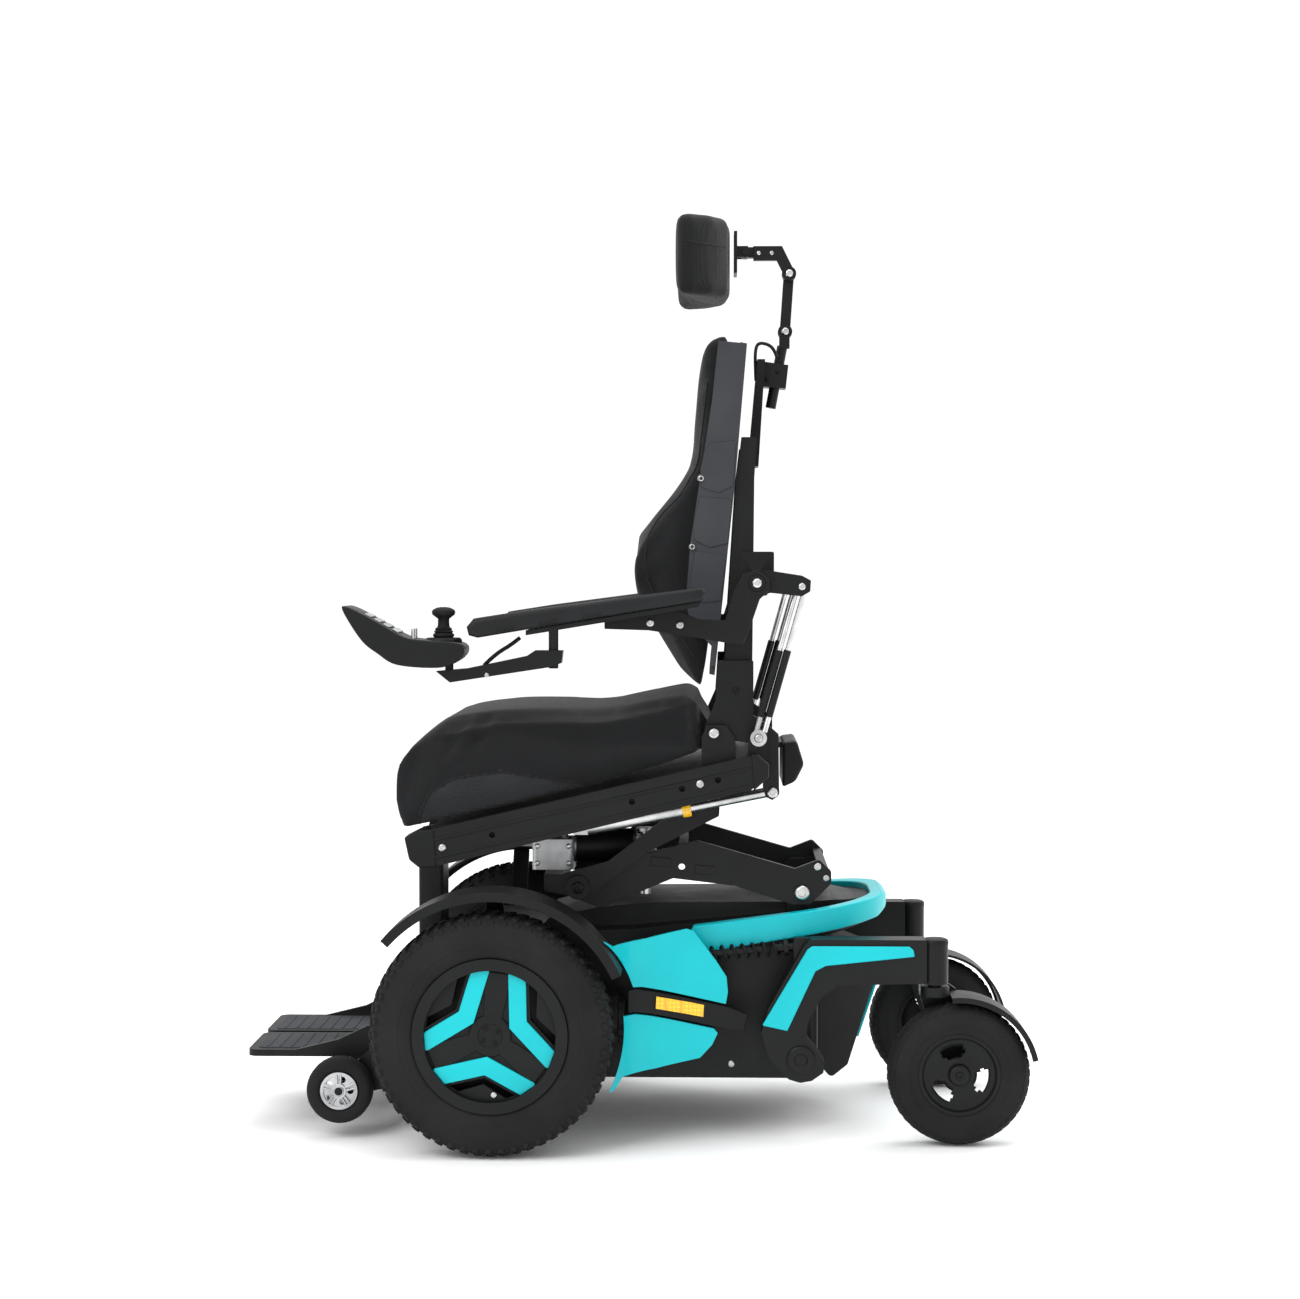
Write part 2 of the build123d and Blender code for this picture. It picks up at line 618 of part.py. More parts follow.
BAR_FOOT, BAR_HEAD = (205.0, 1095.0), (223.0, 1190.0)


def on_bar(part_way):
    """A point on the headrest bar's axis, from its foot at 0 to its head at 1."""
    (foot_x, foot_z), (head_x, head_z) = BAR_FOOT, BAR_HEAD
    return (foot_x + part_way * (head_x - foot_x), 0, foot_z + part_way * (head_z - foot_z))


RECLINE_BRACKET = [
    (104, 600), (104, 614), (120, 650), (124, 712), (176, 712), (176, 632), (197, 618), (213, 604),
    (214, 516), (204, 507), (194, 512), (190, 526), (190, 582), (180, 590), (150, 594), (124, 592),
]
with BuildPart() as back_frame:
    for side, _ in SIDES:
        plate(
            [(130, 653), (174, 653), (177, 980), (181, 1040), (158, 1040), (151, 980)],
            band(side, 160, 191),
        )
        plate(RECLINE_BRACKET, band(side, 190, 202), 2)
        cross_pin(RECLINE_PIVOT, 8, band(side, 200, RAIL_INNER + 13))
        # armrest pivot bracket
        plate(
            [(150, 800), (196, 808), (206, 838), (206, 872), (156, 872)],
            band(side, 190, 198),
            3,
        )
        cross_pin(ARMREST_PIVOT, 8, band(side, 196, 250))
    cross_pin(RECLINE_PIN, 5, (-192, -170))
    for x, z in ((150, 690), (160, 1006)):
        block((x, x + 14), (-161, 161), (z, z + 24))
    # headrest clamp on its plate
    plate([(160, 1004), (186, 1004), (196, 1168), (184, 1168), (172, 1032)], (-32, 32))
    plate([(184, 1128), (228, 1124), (232, 1160), (190, 1166)], (-18, 18))
    rod(on_bar(-0.5), on_bar(1.2), 8 + FIT, Mode.SUBTRACT)
save("back_frame", back_frame)

SHELL_SIDE = [
    (124, 1180), (115, 1093), (97, 976), (83, 882), (77, 801), (83, 765), (120, 728), (120, 704),
    (127, 765), (149, 976), (158, 1092), (165, 1176),
]
with BuildPart() as back_shell:
    for side, _ in SIDES:
        plate(SHELL_SIDE, band(side, 194, 201))
        for hole in ((99, 979), (86, 879)):
            cross_pin(hole, 5, band(side, 198, 204))
    plate([(111, 692), (119, 690), (127, 765), (149, 976), (166, 1176), (156, 1178)], (-200, 200))
    for side, _ in SIDES:
        block((100, 135), band(side, 188, 205), (680, 704), mode=Mode.SUBTRACT)
save("back_shell", back_shell)

BACK_CUSHION_SIDE = [
    (151, 1196), (115, 1188), (100, 1137), (93, 1064), (83, 991), (31, 918), (-2, 882), (-13, 845),
    (2, 808), (20, 784), (93, 671), (106, 684), (110, 692), (155, 1178),
]
with BuildPart() as back_cushion:
    plate(BACK_CUSHION_SIDE, (-193, 193))
save("back_cushion", back_cushion)


def on_rod(x):
    """A point on the recline actuator's axis at one x."""
    return (x, ROD_Y, RECLINE_PIN[1] + ROD_SLOPE * (x - RECLINE_PIN[0]))


with BuildPart() as recline_rod:
    rod(on_rod(55), on_rod(200), ROD_RADIUS)
    cross_pin(RECLINE_PIN, 11, (ROD_Y - 8, ROD_Y + 8))
    cross_pin(RECLINE_PIN, 5 + FIT, (ROD_Y - 12, ROD_Y + 12), Mode.SUBTRACT)
save("recline_rod", recline_rod)
with BuildPart() as recline_tube:
    rod(on_rod(-70), on_rod(83), TUBE_RADIUS)
    rod(on_rod(-58), on_rod(90), ROD_RADIUS + FIT, Mode.SUBTRACT)
    block((-90, -68), (ROD_Y - 5, ROD_Y + 5), (453, 473))
save("recline_tube", recline_tube)

# ---------------------------------------------------------------- armrests

LEVER_END = (ARMREST_PIVOT[0] + LEVER_REACH[0], ARMREST_PIVOT[1] + LEVER_REACH[1])
PAD_INNER, PAD_OUTER = 250.0, 322.0
FRAME_OUTLINE = [
    (180, 844), (160, 840), (146, 812), (134, 772), (95, 774), (60, 790), (-40, 773), (-40, 760),
    (24, 758), (78, 750), (142, 739), (160, 738), (170, 762), (184, 803), (198, 816), (198, 832),
]
PAD_SIDE = [(-236, 766), (-225, 778), (101, 821), (107, 814), (102, 801), (-218, 748), (-232, 751)]
CARRIER_SIDE = [(-150, 752), (96, 792.7), (100, 800.7), (-150, 759.3)]
STRUT_RUN = (STRUT_FOOT[0] - LEVER_END[0], STRUT_FOOT[1] - LEVER_END[1])


def along_strut(part_way, across):
    """An (x, z) point along the armrest strut, offset to its rear side."""
    return (
        LEVER_END[0] + part_way * STRUT_RUN[0] + across,
        LEVER_END[1] + part_way * STRUT_RUN[1],
    )


for side, label in SIDES:
    with BuildPart() as arm_lever:
        plate(
            [(164, 816), (180, 808), (200, 812), (245, 807), (257, 814), (258, 830), (245, 837),
             (200, 844), (180, 844), (165, 838)],
            band(side, 243, 251),
            2,
        )
        cross_pin(ARMREST_PIVOT, 12, band(side, 250, 264))
        cross_pin(ARMREST_PIVOT, 8 + FIT, band(side, 242, 250.4), Mode.SUBTRACT)
        cross_pin(LEVER_END, 5, band(side, 231, 244))
    save(f"arm_lever_{label}", arm_lever)

    with BuildPart() as armrest_frame:
        plate(FRAME_OUTLINE, band(side, 254, 263), 2)
        cross_pin(ARMREST_PIVOT, 12 + FIT, band(side, 253, 264), Mode.SUBTRACT)
        plate(CARRIER_SIDE, band(side, 254, 312))
        if side == LEFT:
            rod((SWING_PIVOT[0], -ARMREST_Y, 704), (SWING_PIVOT[0], -ARMREST_Y, 760), 7)
    save(f"armrest_frame_{label}", armrest_frame)

    with BuildPart() as armrest_pad:
        plate(PAD_SIDE, band(side, PAD_INNER, PAD_OUTER))
        plate(CARRIER_SIDE, band(side, 254, 312), mode=Mode.SUBTRACT)
    save(f"armrest_pad_{label}", armrest_pad)

    strut_y = side * 236.5
    with BuildPart() as arm_strut:
        for pin, bore in ((LEVER_END, 5 + FIT), (STRUT_FOOT, 6.5)):
            cross_pin(pin, 12, band(side, 232, 241))
            cross_pin(pin, bore, band(side, 230, 243), Mode.SUBTRACT)
        for across in (-6, 6):
            top, foot = along_strut(0.04, across), along_strut(0.96, across)
            rod((top[0], strut_y, top[1]), (foot[0], strut_y, foot[1]), 4)
        for pin, bore in ((LEVER_END, 5 + FIT), (STRUT_FOOT, 6.5)):
            cross_pin(pin, bore, band(side, 230, 243), Mode.SUBTRACT)
    save(f"arm_strut_{label}", arm_strut)

# ---------------------------------------------------------------- joystick

with BuildPart() as swing_arm:
    plate(
        [(-280, 700), (-260, 684), (-239, 687), (-117, 706), (-100, 712), (-98, 730), (-138, 730),
         (-150, 722), (-236, 704)],
        (-ARMREST_Y - 12, -ARMREST_Y + 12),
    )
    pivot_x = SWING_PIVOT[0]
    rod((pivot_x, -ARMREST_Y, 700), (pivot_x, -ARMREST_Y, 735), 7 + FIT, Mode.SUBTRACT)
    rod((MODULE_PIVOT[0], -ARMREST_Y, 690), (MODULE_PIVOT[0], -ARMREST_Y, 716), 6)
save("swing_arm", swing_arm)

GIMBAL_PIN = 1.5
HOUSING_SIDE = [
    (-411, 788), (-401, 793), (-321, 749), (-289, 745), (-242, 742), (-236, 724), (-275, 705),
    (-332, 709), (-382, 745),
]
TOGGLES = (("toggle_inner", -272.0), ("toggle_outer", -300.0))
TOGGLE_PIN, TOGGLE_PIN_RADIUS = (-312.0, 744.0), 1.2
with BuildPart() as joystick_housing:
    plate(HOUSING_SIDE, (-325, -247))
    rod((MODULE_PIVOT[0], -ARMREST_Y, 700), (MODULE_PIVOT[0], -ARMREST_Y, 717), 6 + FIT, Mode.SUBTRACT)
    rod((STICK_PIVOT[0], -ARMREST_Y, 726), (STICK_PIVOT[0], -ARMREST_Y, 760), 17, Mode.SUBTRACT)
    cross_pin(
        STICK_PIVOT, GIMBAL_PIN + FIT, (-ARMREST_Y - 20, -ARMREST_Y + 20), mode=Mode.SUBTRACT
    )
    x, z = TOGGLE_PIN
    for _, toggle_y in TOGGLES:
        rod((x, toggle_y, z - 7), (x, toggle_y, z + 12), 5.5, Mode.SUBTRACT)
        cross_pin(
            TOGGLE_PIN, TOGGLE_PIN_RADIUS + FIT, (toggle_y - 7.5, toggle_y + 7.5),
            mode=Mode.SUBTRACT,
        )
save("joystick_housing", joystick_housing)
for name, toggle_y in TOGGLES:
    with BuildPart() as toggle:
        rod((x, toggle_y, z - 5), (x, toggle_y, z + 17), 2.6)
        cross_pin(TOGGLE_PIN, TOGGLE_PIN_RADIUS, (toggle_y - 7, toggle_y + 7))
    save(name, toggle)

# the stick rocks sideways on the gimbal's pin along X, and the gimbal fore and aft along Y
x, z = STICK_PIVOT
with BuildPart() as joystick_gimbal:
    rod((x, -ARMREST_Y, z - 2), (x, -ARMREST_Y, z + 2), 12)
    rod((x, -ARMREST_Y, z - 3), (x, -ARMREST_Y, z + 3), 9, Mode.SUBTRACT)
    for outward in (LEFT, RIGHT):
        reach = sorted((-ARMREST_Y + outward * 10, -ARMREST_Y + outward * 19))
        cross_pin(STICK_PIVOT, GIMBAL_PIN, reach)
    rod((x - 10, -ARMREST_Y, z), (x + 10, -ARMREST_Y, z), GIMBAL_PIN)
save("joystick_gimbal", joystick_gimbal)
with BuildPart() as joystick_stick:
    with BuildSketch(Plane(origin=(x, -ARMREST_Y, 0), x_dir=(1, 0, 0), z_dir=(0, -1, 0))) as section:
        with BuildLine():
            Polyline(
                (0, z - 4), (4, z - 3), (4.5, z + 14), (14, z + 16), (10, z + 26), (9, z + 38),
                (17, z + 44), (17, z + 50), (12, z + 55), (0, z + 55), close=True,
            )
        make_face()
    revolve(section.sketch, axis=Axis((x, -ARMREST_Y, 0), (0, 0, 1)))
    rod((x - 6, -ARMREST_Y, z), (x + 6, -ARMREST_Y, z), 3.5)
    rod((x - 8, -ARMREST_Y, z), (x + 8, -ARMREST_Y, z), GIMBAL_PIN + FIT, Mode.SUBTRACT)
save("joystick_stick", joystick_stick)

CABLE_RADIUS = 3.0
CABLE_ROUTE = [(-212, 705), (-198, 722), (-178, 735), (-160, 748)]
with BuildPart() as joystick_cable:
    with BuildLine():
        route = FilletPolyline(*[(x, -ARMREST_Y, z) for x, z in CABLE_ROUTE], radius=14)
    with BuildSketch(Plane(origin=route @ 0, z_dir=route % 0)) as cable_section:
        Circle(CABLE_RADIUS)
    sweep(cable_section.sketch, path=route)
    add(swing_arm.part, mode=Mode.SUBTRACT)
save("joystick_cable", joystick_cable)

# ---------------------------------------------------------------- legrest

with BuildPart() as legrest_column:
    block((-338, -300), (-40, 40), (168, 436), 5)
    block((-332, -306), (-32, 32), (160, 400), mode=Mode.SUBTRACT)
    cross_pin(LEGREST_PIVOT, 9, (-54, 54))
save("legrest_column", legrest_column)

FOOT_X, FOOT_Z = FOOT_HINGE
with BuildPart() as legrest_slider:
    block((-331.5, -306.5), (-31.5, 31.5), (140, 330), 3)
    plate(
        [(-340, 140), (-300, 140), (-300, 128), (-356, 112), (FOOT_X - 8, FOOT_Z - 8),
         (FOOT_X - 8, FOOT_Z + 8), (-352, 134)],
        (-36, 36),
    )
    cross_pin(FOOT_HINGE, 6, (-138, 138))
save("legrest_slider", legrest_slider)

for side, label in SIDES:
    with BuildPart() as footplate:
        block((-585, -388), band(side, 7, 142), (112, 122), 14)
        plate(
            [(-520, 120), (-500, 125), (-447, 138), (-403, 159), (-388, 159), (-388, 118)],
            band(side, 134, 142),
        )
        block((-392, FOOT_X), band(side, 44, 136), (112, 122))
        cross_pin(FOOT_HINGE, 10, band(side, 44, 136))
        cross_pin(FOOT_HINGE, 6 + FIT, band(side, 40, 140), Mode.SUBTRACT)
    save(f"footplate_{label}", footplate)

# ---------------------------------------------------------------- headrest

PIN_RADIUS, KNUCKLE = 4.0, 11.0
with BuildPart() as headrest_bar:
    rod(on_bar(0), on_bar(1), 8)
    cross_pin(HEADREST_KNEE, KNUCKLE, (-12, -0.5))
    cross_pin(HEADREST_KNEE, PIN_RADIUS, (-12, 12))
    block((HEADREST_KNEE[0] - 9, HEADREST_KNEE[0] + 7), (-12, -0.5), (1186, 1208))
save("headrest_bar", headrest_bar)
with BuildPart() as headrest_link:
    (knee_x, knee_z), (elbow_x, elbow_z) = HEADREST_KNEE, HEADREST_ELBOW
    for pin in (HEADREST_KNEE, HEADREST_ELBOW):
        cross_pin(pin, KNUCKLE, (0.5, 12))
    plate(
        [(knee_x - 8, knee_z), (knee_x + 8, knee_z), (elbow_x + 8, elbow_z), (elbow_x - 8, elbow_z)],
        (0.5, 12),
    )
    cross_pin(HEADREST_KNEE, PIN_RADIUS + FIT, (0, 13), Mode.SUBTRACT)
    cross_pin(HEADREST_ELBOW, PIN_RADIUS + FIT, (0, 13), Mode.SUBTRACT)
save("headrest_link", headrest_link)
with BuildPart() as headrest_arm:
    cross_pin(HEADREST_ELBOW, KNUCKLE, (-12, -0.5))
    cross_pin(HEADREST_ELBOW, PIN_RADIUS, (-12, 12))
    plate(
        [(elbow_x - 9, elbow_z), (elbow_x + 8, elbow_z + 4), (222, 1343), (178, 1343),
         (178, 1321), (214, 1321)],
        (-12, -0.5),
    )
    cross_pin(HEADREST_BALL, 9, (-8, 8))
    cross_pin(HEADREST_BALL, 5, (-15, 15))
    block((164, 182), (-8, 8), (1326, 1342))
save("headrest_arm", headrest_arm)

HEAD_FRONT = [
    (74, 0), (74, 60), (56, 108), (64, 126), (84, 124), (118, 98), (142, 60), (148, 0),
    (142, -60), (118, -98), (84, -124), (64, -126), (56, -108), (74, -60),
]
with BuildPart() as headrest_pad:
    plan(HEAD_FRONT, (1252, 1386))
    plate(
        [(40, 1240), (120, 1240), (150, 1262), (150, 1376), (110, 1390), (40, 1390)],
        (-140, 140),
        mode=Mode.INTERSECT,
    )
with BuildPart() as headrest_plate:
    block((148, 153), (-30, 30), (1300, 1364))
    for side in (LEFT, RIGHT):
        block((152, 170), band(side, 8.5, 14), (1326, 1343))
        cross_pin(HEADREST_BALL, 8.5, band(side, 8.5, 14))
        cross_pin(HEADREST_BALL, 5 + FIT, band(side, 8, 15), Mode.SUBTRACT)
save("headrest_pad", headrest_pad, headrest_plate)
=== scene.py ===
import bpy
import bmesh
import json
from math import cos, degrees, pi, radians, sin
from mathutils import Matrix, Vector


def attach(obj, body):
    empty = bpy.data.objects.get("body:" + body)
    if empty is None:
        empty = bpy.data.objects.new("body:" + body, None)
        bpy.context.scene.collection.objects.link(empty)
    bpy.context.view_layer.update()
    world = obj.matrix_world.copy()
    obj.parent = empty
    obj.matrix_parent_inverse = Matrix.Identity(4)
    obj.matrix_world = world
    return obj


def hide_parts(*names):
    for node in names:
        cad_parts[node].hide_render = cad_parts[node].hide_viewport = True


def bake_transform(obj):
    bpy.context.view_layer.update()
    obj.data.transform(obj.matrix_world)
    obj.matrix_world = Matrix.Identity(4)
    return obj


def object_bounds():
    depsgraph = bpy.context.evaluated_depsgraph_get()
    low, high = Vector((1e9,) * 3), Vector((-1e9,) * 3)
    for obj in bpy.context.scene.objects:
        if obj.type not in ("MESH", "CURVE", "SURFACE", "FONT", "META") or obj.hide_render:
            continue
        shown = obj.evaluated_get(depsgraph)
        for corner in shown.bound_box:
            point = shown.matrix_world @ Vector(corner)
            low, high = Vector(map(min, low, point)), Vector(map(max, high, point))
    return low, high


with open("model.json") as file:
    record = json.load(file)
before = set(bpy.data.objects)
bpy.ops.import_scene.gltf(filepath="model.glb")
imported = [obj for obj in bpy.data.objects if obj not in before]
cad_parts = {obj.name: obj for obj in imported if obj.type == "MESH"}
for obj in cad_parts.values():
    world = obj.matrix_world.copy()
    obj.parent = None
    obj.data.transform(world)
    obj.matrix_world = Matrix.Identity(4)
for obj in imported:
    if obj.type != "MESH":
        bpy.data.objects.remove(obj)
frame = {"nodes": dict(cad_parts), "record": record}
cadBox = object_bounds()
record = frame["record"]
bodyOfNode = {node: body for body, nodes in record["behaviour"]["bodies"].items() for node in nodes}
sides = ((-1, "left"), (1, "right"))
mm = 0.001
print("frame loaded")


def linear(hexColour):
    channels = []
    for start in (1, 3, 5):
        value = int(hexColour[start:start + 2], 16) / 255
        channels.append(value / 12.92 if value <= 0.04045 else ((value + 0.055) / 1.055) ** 2.4)
    return (*channels, 1.0)


def addNode(tree, kind, values=None, links=None, **settings):
    node = tree.nodes.new(kind)
    for name, value in settings.items():
        setattr(node, name, value)
    for socket, value in (values or {}).items():
        node.inputs[socket].default_value = value
    for socket, source in (links or {}).items():
        tree.links.new(source, node.inputs[socket])
    return node


def startMaterial(name, colour, roughness, metallic=0.0, ior=1.3):
    material = bpy.data.materials.new(name)
    material.use_nodes = True
    tree = material.node_tree
    shader = tree.nodes["Principled BSDF"]
    shader.inputs["Base Color"].default_value = linear(colour)
    shader.inputs["Roughness"].default_value = roughness
    shader.inputs["Metallic"].default_value = metallic
    if not metallic:
        shader.inputs["IOR"].default_value = ior
    place = addNode(tree, "ShaderNodeTexCoord").outputs["Object"]
    return material, tree, shader, place


def mottle(tree, shader, place, light, dark, scale, low=0.35, high=0.65):
    noise = addNode(tree, "ShaderNodeTexNoise", {"Scale": scale, "Detail": 5.0}, {"Vector": place})
    ramp = addNode(tree, "ShaderNodeValToRGB", links={"Fac": noise.outputs["Fac"]})
    ramp.color_ramp.elements[0].position = low
    ramp.color_ramp.elements[0].color = linear(dark)
    ramp.color_ramp.elements[1].position = high
    ramp.color_ramp.elements[1].color = linear(light)
    tree.links.new(ramp.outputs["Color"], shader.inputs["Base Color"])
    return ramp


def roughen(tree, shader, place, low, high, scale):
    noise = addNode(tree, "ShaderNodeTexNoise", {"Scale": scale, "Detail": 4.0}, {"Vector": place})
    spread = addNode(tree, "ShaderNodeMapRange", {"To Min": low, "To Max": high},
                     {"Value": noise.outputs["Fac"]})
    tree.links.new(spread.outputs["Result"], shader.inputs["Roughness"])


def bumpFrom(tree, shader, height, strength, depth):
    bump = addNode(tree, "ShaderNodeBump", {"Strength": strength, "Distance": depth}, {"Height": height})
    tree.links.new(bump.outputs["Normal"], shader.inputs["Normal"])


def grainMaterial(name, light, dark, roughness, grain, depth, strength=0.5, spread=0.08):
    material, tree, shader, place = startMaterial(name, light, roughness)
    mottle(tree, shader, place, light, dark, 9.0)
    roughen(tree, shader, place, roughness - spread, roughness + spread, 30.0)
    pebble = addNode(tree, "ShaderNodeTexNoise", {"Scale": 1 / grain, "Detail": 2.0}, {"Vector": place})
    bumpFrom(tree, shader, pebble.outputs["Fac"], strength, depth)
    return material


def glossMaterial(name, light, dark, roughness, coat):
    material, tree, shader, place = startMaterial(name, light, roughness)
    mottle(tree, shader, place, light, dark, 5.0)
    roughen(tree, shader, place, roughness - 0.04, roughness + 0.05, 18.0)
    peel = addNode(tree, "ShaderNodeTexNoise", {"Scale": 260.0, "Detail": 1.0}, {"Vector": place})
    bumpFrom(tree, shader, peel.outputs["Fac"], 0.08, 0.0004)
    shader.inputs["Coat Weight"].default_value = coat
    shader.inputs["Coat Roughness"].default_value = 0.12
    return material


def metalMaterial(name, light, dark, roughness, grain, depth):
    material, tree, shader, place = startMaterial(name, light, roughness, metallic=1.0)
    mottle(tree, shader, place, light, dark, 24.0)
    roughen(tree, shader, place, roughness - 0.07, roughness + 0.1, 60.0)
    lines = addNode(tree, "ShaderNodeTexNoise", {"Scale": 1 / grain, "Detail": 3.0}, {"Vector": place})
    bumpFrom(tree, shader, lines.outputs["Fac"], 0.35, depth)
    return material


def wovenMaterial(name, light, dark, roughness, thread, depth, sheen=0.12):
    material, tree, shader, place = startMaterial(name, light, roughness)
    turned = addNode(tree, "ShaderNodeMapping", {"Rotation": (0.0, 0.0, radians(45))}, {"Vector": place})
    waves = []
    for direction in ("X", "Y", "Z"):
        wave = addNode(tree, "ShaderNodeTexWave", {"Scale": 1 / thread / 3.2, "Distortion": 0.6,
                                                   "Detail": 1.0, "Detail Scale": 2.0},
                       {"Vector": turned.outputs["Vector"]}, wave_type="BANDS", bands_direction=direction)
        waves.append(wave.outputs["Fac"])
    weave = addNode(tree, "ShaderNodeMath", links={0: waves[0], 1: waves[1]}, operation="MULTIPLY")
    weave = addNode(tree, "ShaderNodeMath", links={0: weave.outputs[0], 1: waves[2]}, operation="ADD")
    cloudy = addNode(tree, "ShaderNodeTexNoise", {"Scale": 14.0, "Detail": 6.0}, {"Vector": place})
    mixed = addNode(tree, "ShaderNodeMath", {1: 0.35}, {0: weave.outputs[0]}, operation="MULTIPLY")
    shade = addNode(tree, "ShaderNodeMath", links={0: mixed.outputs[0], 1: cloudy.outputs["Fac"]},
                    operation="ADD")
    ramp = addNode(tree, "ShaderNodeValToRGB", links={"Fac": shade.outputs[0]})
    ramp.color_ramp.elements[0].position = 0.3
    ramp.color_ramp.elements[0].color = linear(dark)
    ramp.color_ramp.elements[1].position = 1.1
    ramp.color_ramp.elements[1].color = linear(light)
    tree.links.new(ramp.outputs["Color"], shader.inputs["Base Color"])
    bumpFrom(tree, shader, weave.outputs[0], 0.55, depth)
    shader.inputs["Sheen Weight"].default_value = sheen
    shader.inputs["Sheen Roughness"].default_value = 0.5
    return material


def honeycombMaterial(name, light, dark, roughness, cell):
    material, tree, shader, place = startMaterial(name, light, roughness, ior=1.49)
    cells = addNode(tree, "ShaderNodeTexVoronoi", {"Scale": 1 / cell, "Randomness": 0.15},
                    {"Vector": place}, feature="DISTANCE_TO_EDGE")
    ramp = addNode(tree, "ShaderNodeValToRGB", links={"Fac": cells.outputs["Distance"]})
    ramp.color_ramp.elements[0].position = 0.02
    ramp.color_ramp.elements[0].color = linear(dark)
    ramp.color_ramp.elements[1].position = 0.16
    ramp.color_ramp.elements[1].color = linear(light)
    tree.links.new(ramp.outputs["Color"], shader.inputs["Base Color"])
    bumpFrom(tree, shader, cells.outputs["Distance"], 0.4, 0.0008)
    shader.inputs["Coat Weight"].default_value = 0.6
    return material


# finish name: (material, the record's slot)
finishes = {
    # powder-coated steel: near black, an even orange-peel texture and a soft sheen
    "powderCoat": (
        grainMaterial("powderCoatedSteel", "#111213", "#0C0D0D", 0.4, 0.0016, 0.0003),
        "frame_black",
    ),
    # injection-moulded ABS: black, spark-eroded grain that breaks up the highlights
    "mouldedBlack": (
        grainMaterial("mouldedAbsBlack", "#101112", "#0B0C0C", 0.47, 0.0012, 0.00025),
        "plastic_black",
    ),
    "mouldedGrey": (
        grainMaterial("mouldedAbsGrey", "#3A3B3F", "#313236", 0.5, 0.0013, 0.00025),
        "plastic_grey",
    ),
    "tealPaint": (glossMaterial("tealPaintedAbs", "#00BBC3", "#00AEB8", 0.36, 0.15), "teal_gloss"),
    "tyreRubber": (
        grainMaterial("vulcanisedTyreRubber", "#1F1F20", "#161617", 0.8, 0.0022, 0.0005),
        "tyre",
    ),
    "wheelNylon": (
        grainMaterial("glassFilledNylon", "#141516", "#0E0F10", 0.5, 0.0015, 0.0003),
        "wheel_black",
    ),
    "softRubber": (
        grainMaterial("softTouchRubber", "#121213", "#0C0C0D", 0.66, 0.0014, 0.0003),
        "rubber_black",
    ),
    "padSkin": (
        grainMaterial("polyurethaneSkin", "#1A1B1D", "#121314", 0.52, 0.0026, 0.0005),
        "rubber_black",
    ),
    "zincSteel": (
        metalMaterial("zincPlatedSteel", "#D3D3D1", "#A9AAAA", 0.28, 0.002, 0.0001),
        "steel_bright",
    ),
    "castAluminium": (
        metalMaterial("castAluminium", "#C4C5C6", "#97989A", 0.42, 0.0025, 0.0004),
        "aluminium_cast",
    ),
    "stretchKnit": (
        wovenMaterial("stretchKnitPolyester", "#141517", "#0A0B0C", 0.85, 0.0016, 0.0006),
        "fabric_charcoal",
    ),
    "sideMesh": (
        wovenMaterial("spacerMeshPolyester", "#2B2C2F", "#17181A", 0.85, 0.0030, 0.0009),
        "fabric_charcoal",
    ),
    "amberLens": (
        honeycombMaterial("prismaticAmberAcrylic", "#FFCB05", "#E9A400", 0.3, 0.006),
        "plastic_black",
    ),
    "treadGrey": (
        grainMaterial("elastomerTreadGrey", "#3C3E42", "#303236", 0.7, 0.002, 0.0005),
        "frame_black",
    ),
    "caseBlack": (
        grainMaterial("polypropyleneCase", "#1A1C1E", "#121315", 0.55, 0.002, 0.0003),
        "battery_case",
    ),
}


def newPiece(name, bm, finish, body, bevel=0.0, segments=2, smoothAngle=38, subdivide=0, scale=mm):
    if scale != 1:
        bmesh.ops.scale(bm, vec=(scale, scale, scale), verts=bm.verts)
    bmesh.ops.remove_doubles(bm, verts=bm.verts, dist=1e-6)
    for face in bm.faces:
        face.smooth = True
    mesh = bpy.data.meshes.new(name)
    bm.to_mesh(mesh)
    bm.free()
    mesh.set_sharp_from_angle(angle=radians(smoothAngle))
    piece = bpy.data.objects.new(name, mesh)
    bpy.context.scene.collection.objects.link(piece)
    material, slotName = finishes[finish]
    mesh.materials.append(material)
    if bevel:
        edges = piece.modifiers.new("edges", "BEVEL")
        edges.width = bevel * mm
        edges.segments = segments
        edges.limit_method = "ANGLE"
        edges.angle_limit = radians(smoothAngle)
        edges.use_clamp_overlap = True
        edges.harden_normals = True
    if subdivide:
        rounder = piece.modifiers.new("rounder", "SUBSURF")
        rounder.levels = subdivide
        rounder.render_levels = subdivide
    if body:
        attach(piece, body)
    return piece


def islandsOf(bm):
    left = set(bm.verts)
    while left:
        island = set()
        stack = [left.pop()]
        while stack:
            vert = stack.pop()
            island.add(vert)
            for edge in vert.link_edges:
                other = edge.other_vert(vert)
                if other in left:
                    left.discard(other)
                    stack.append(other)
        yield island


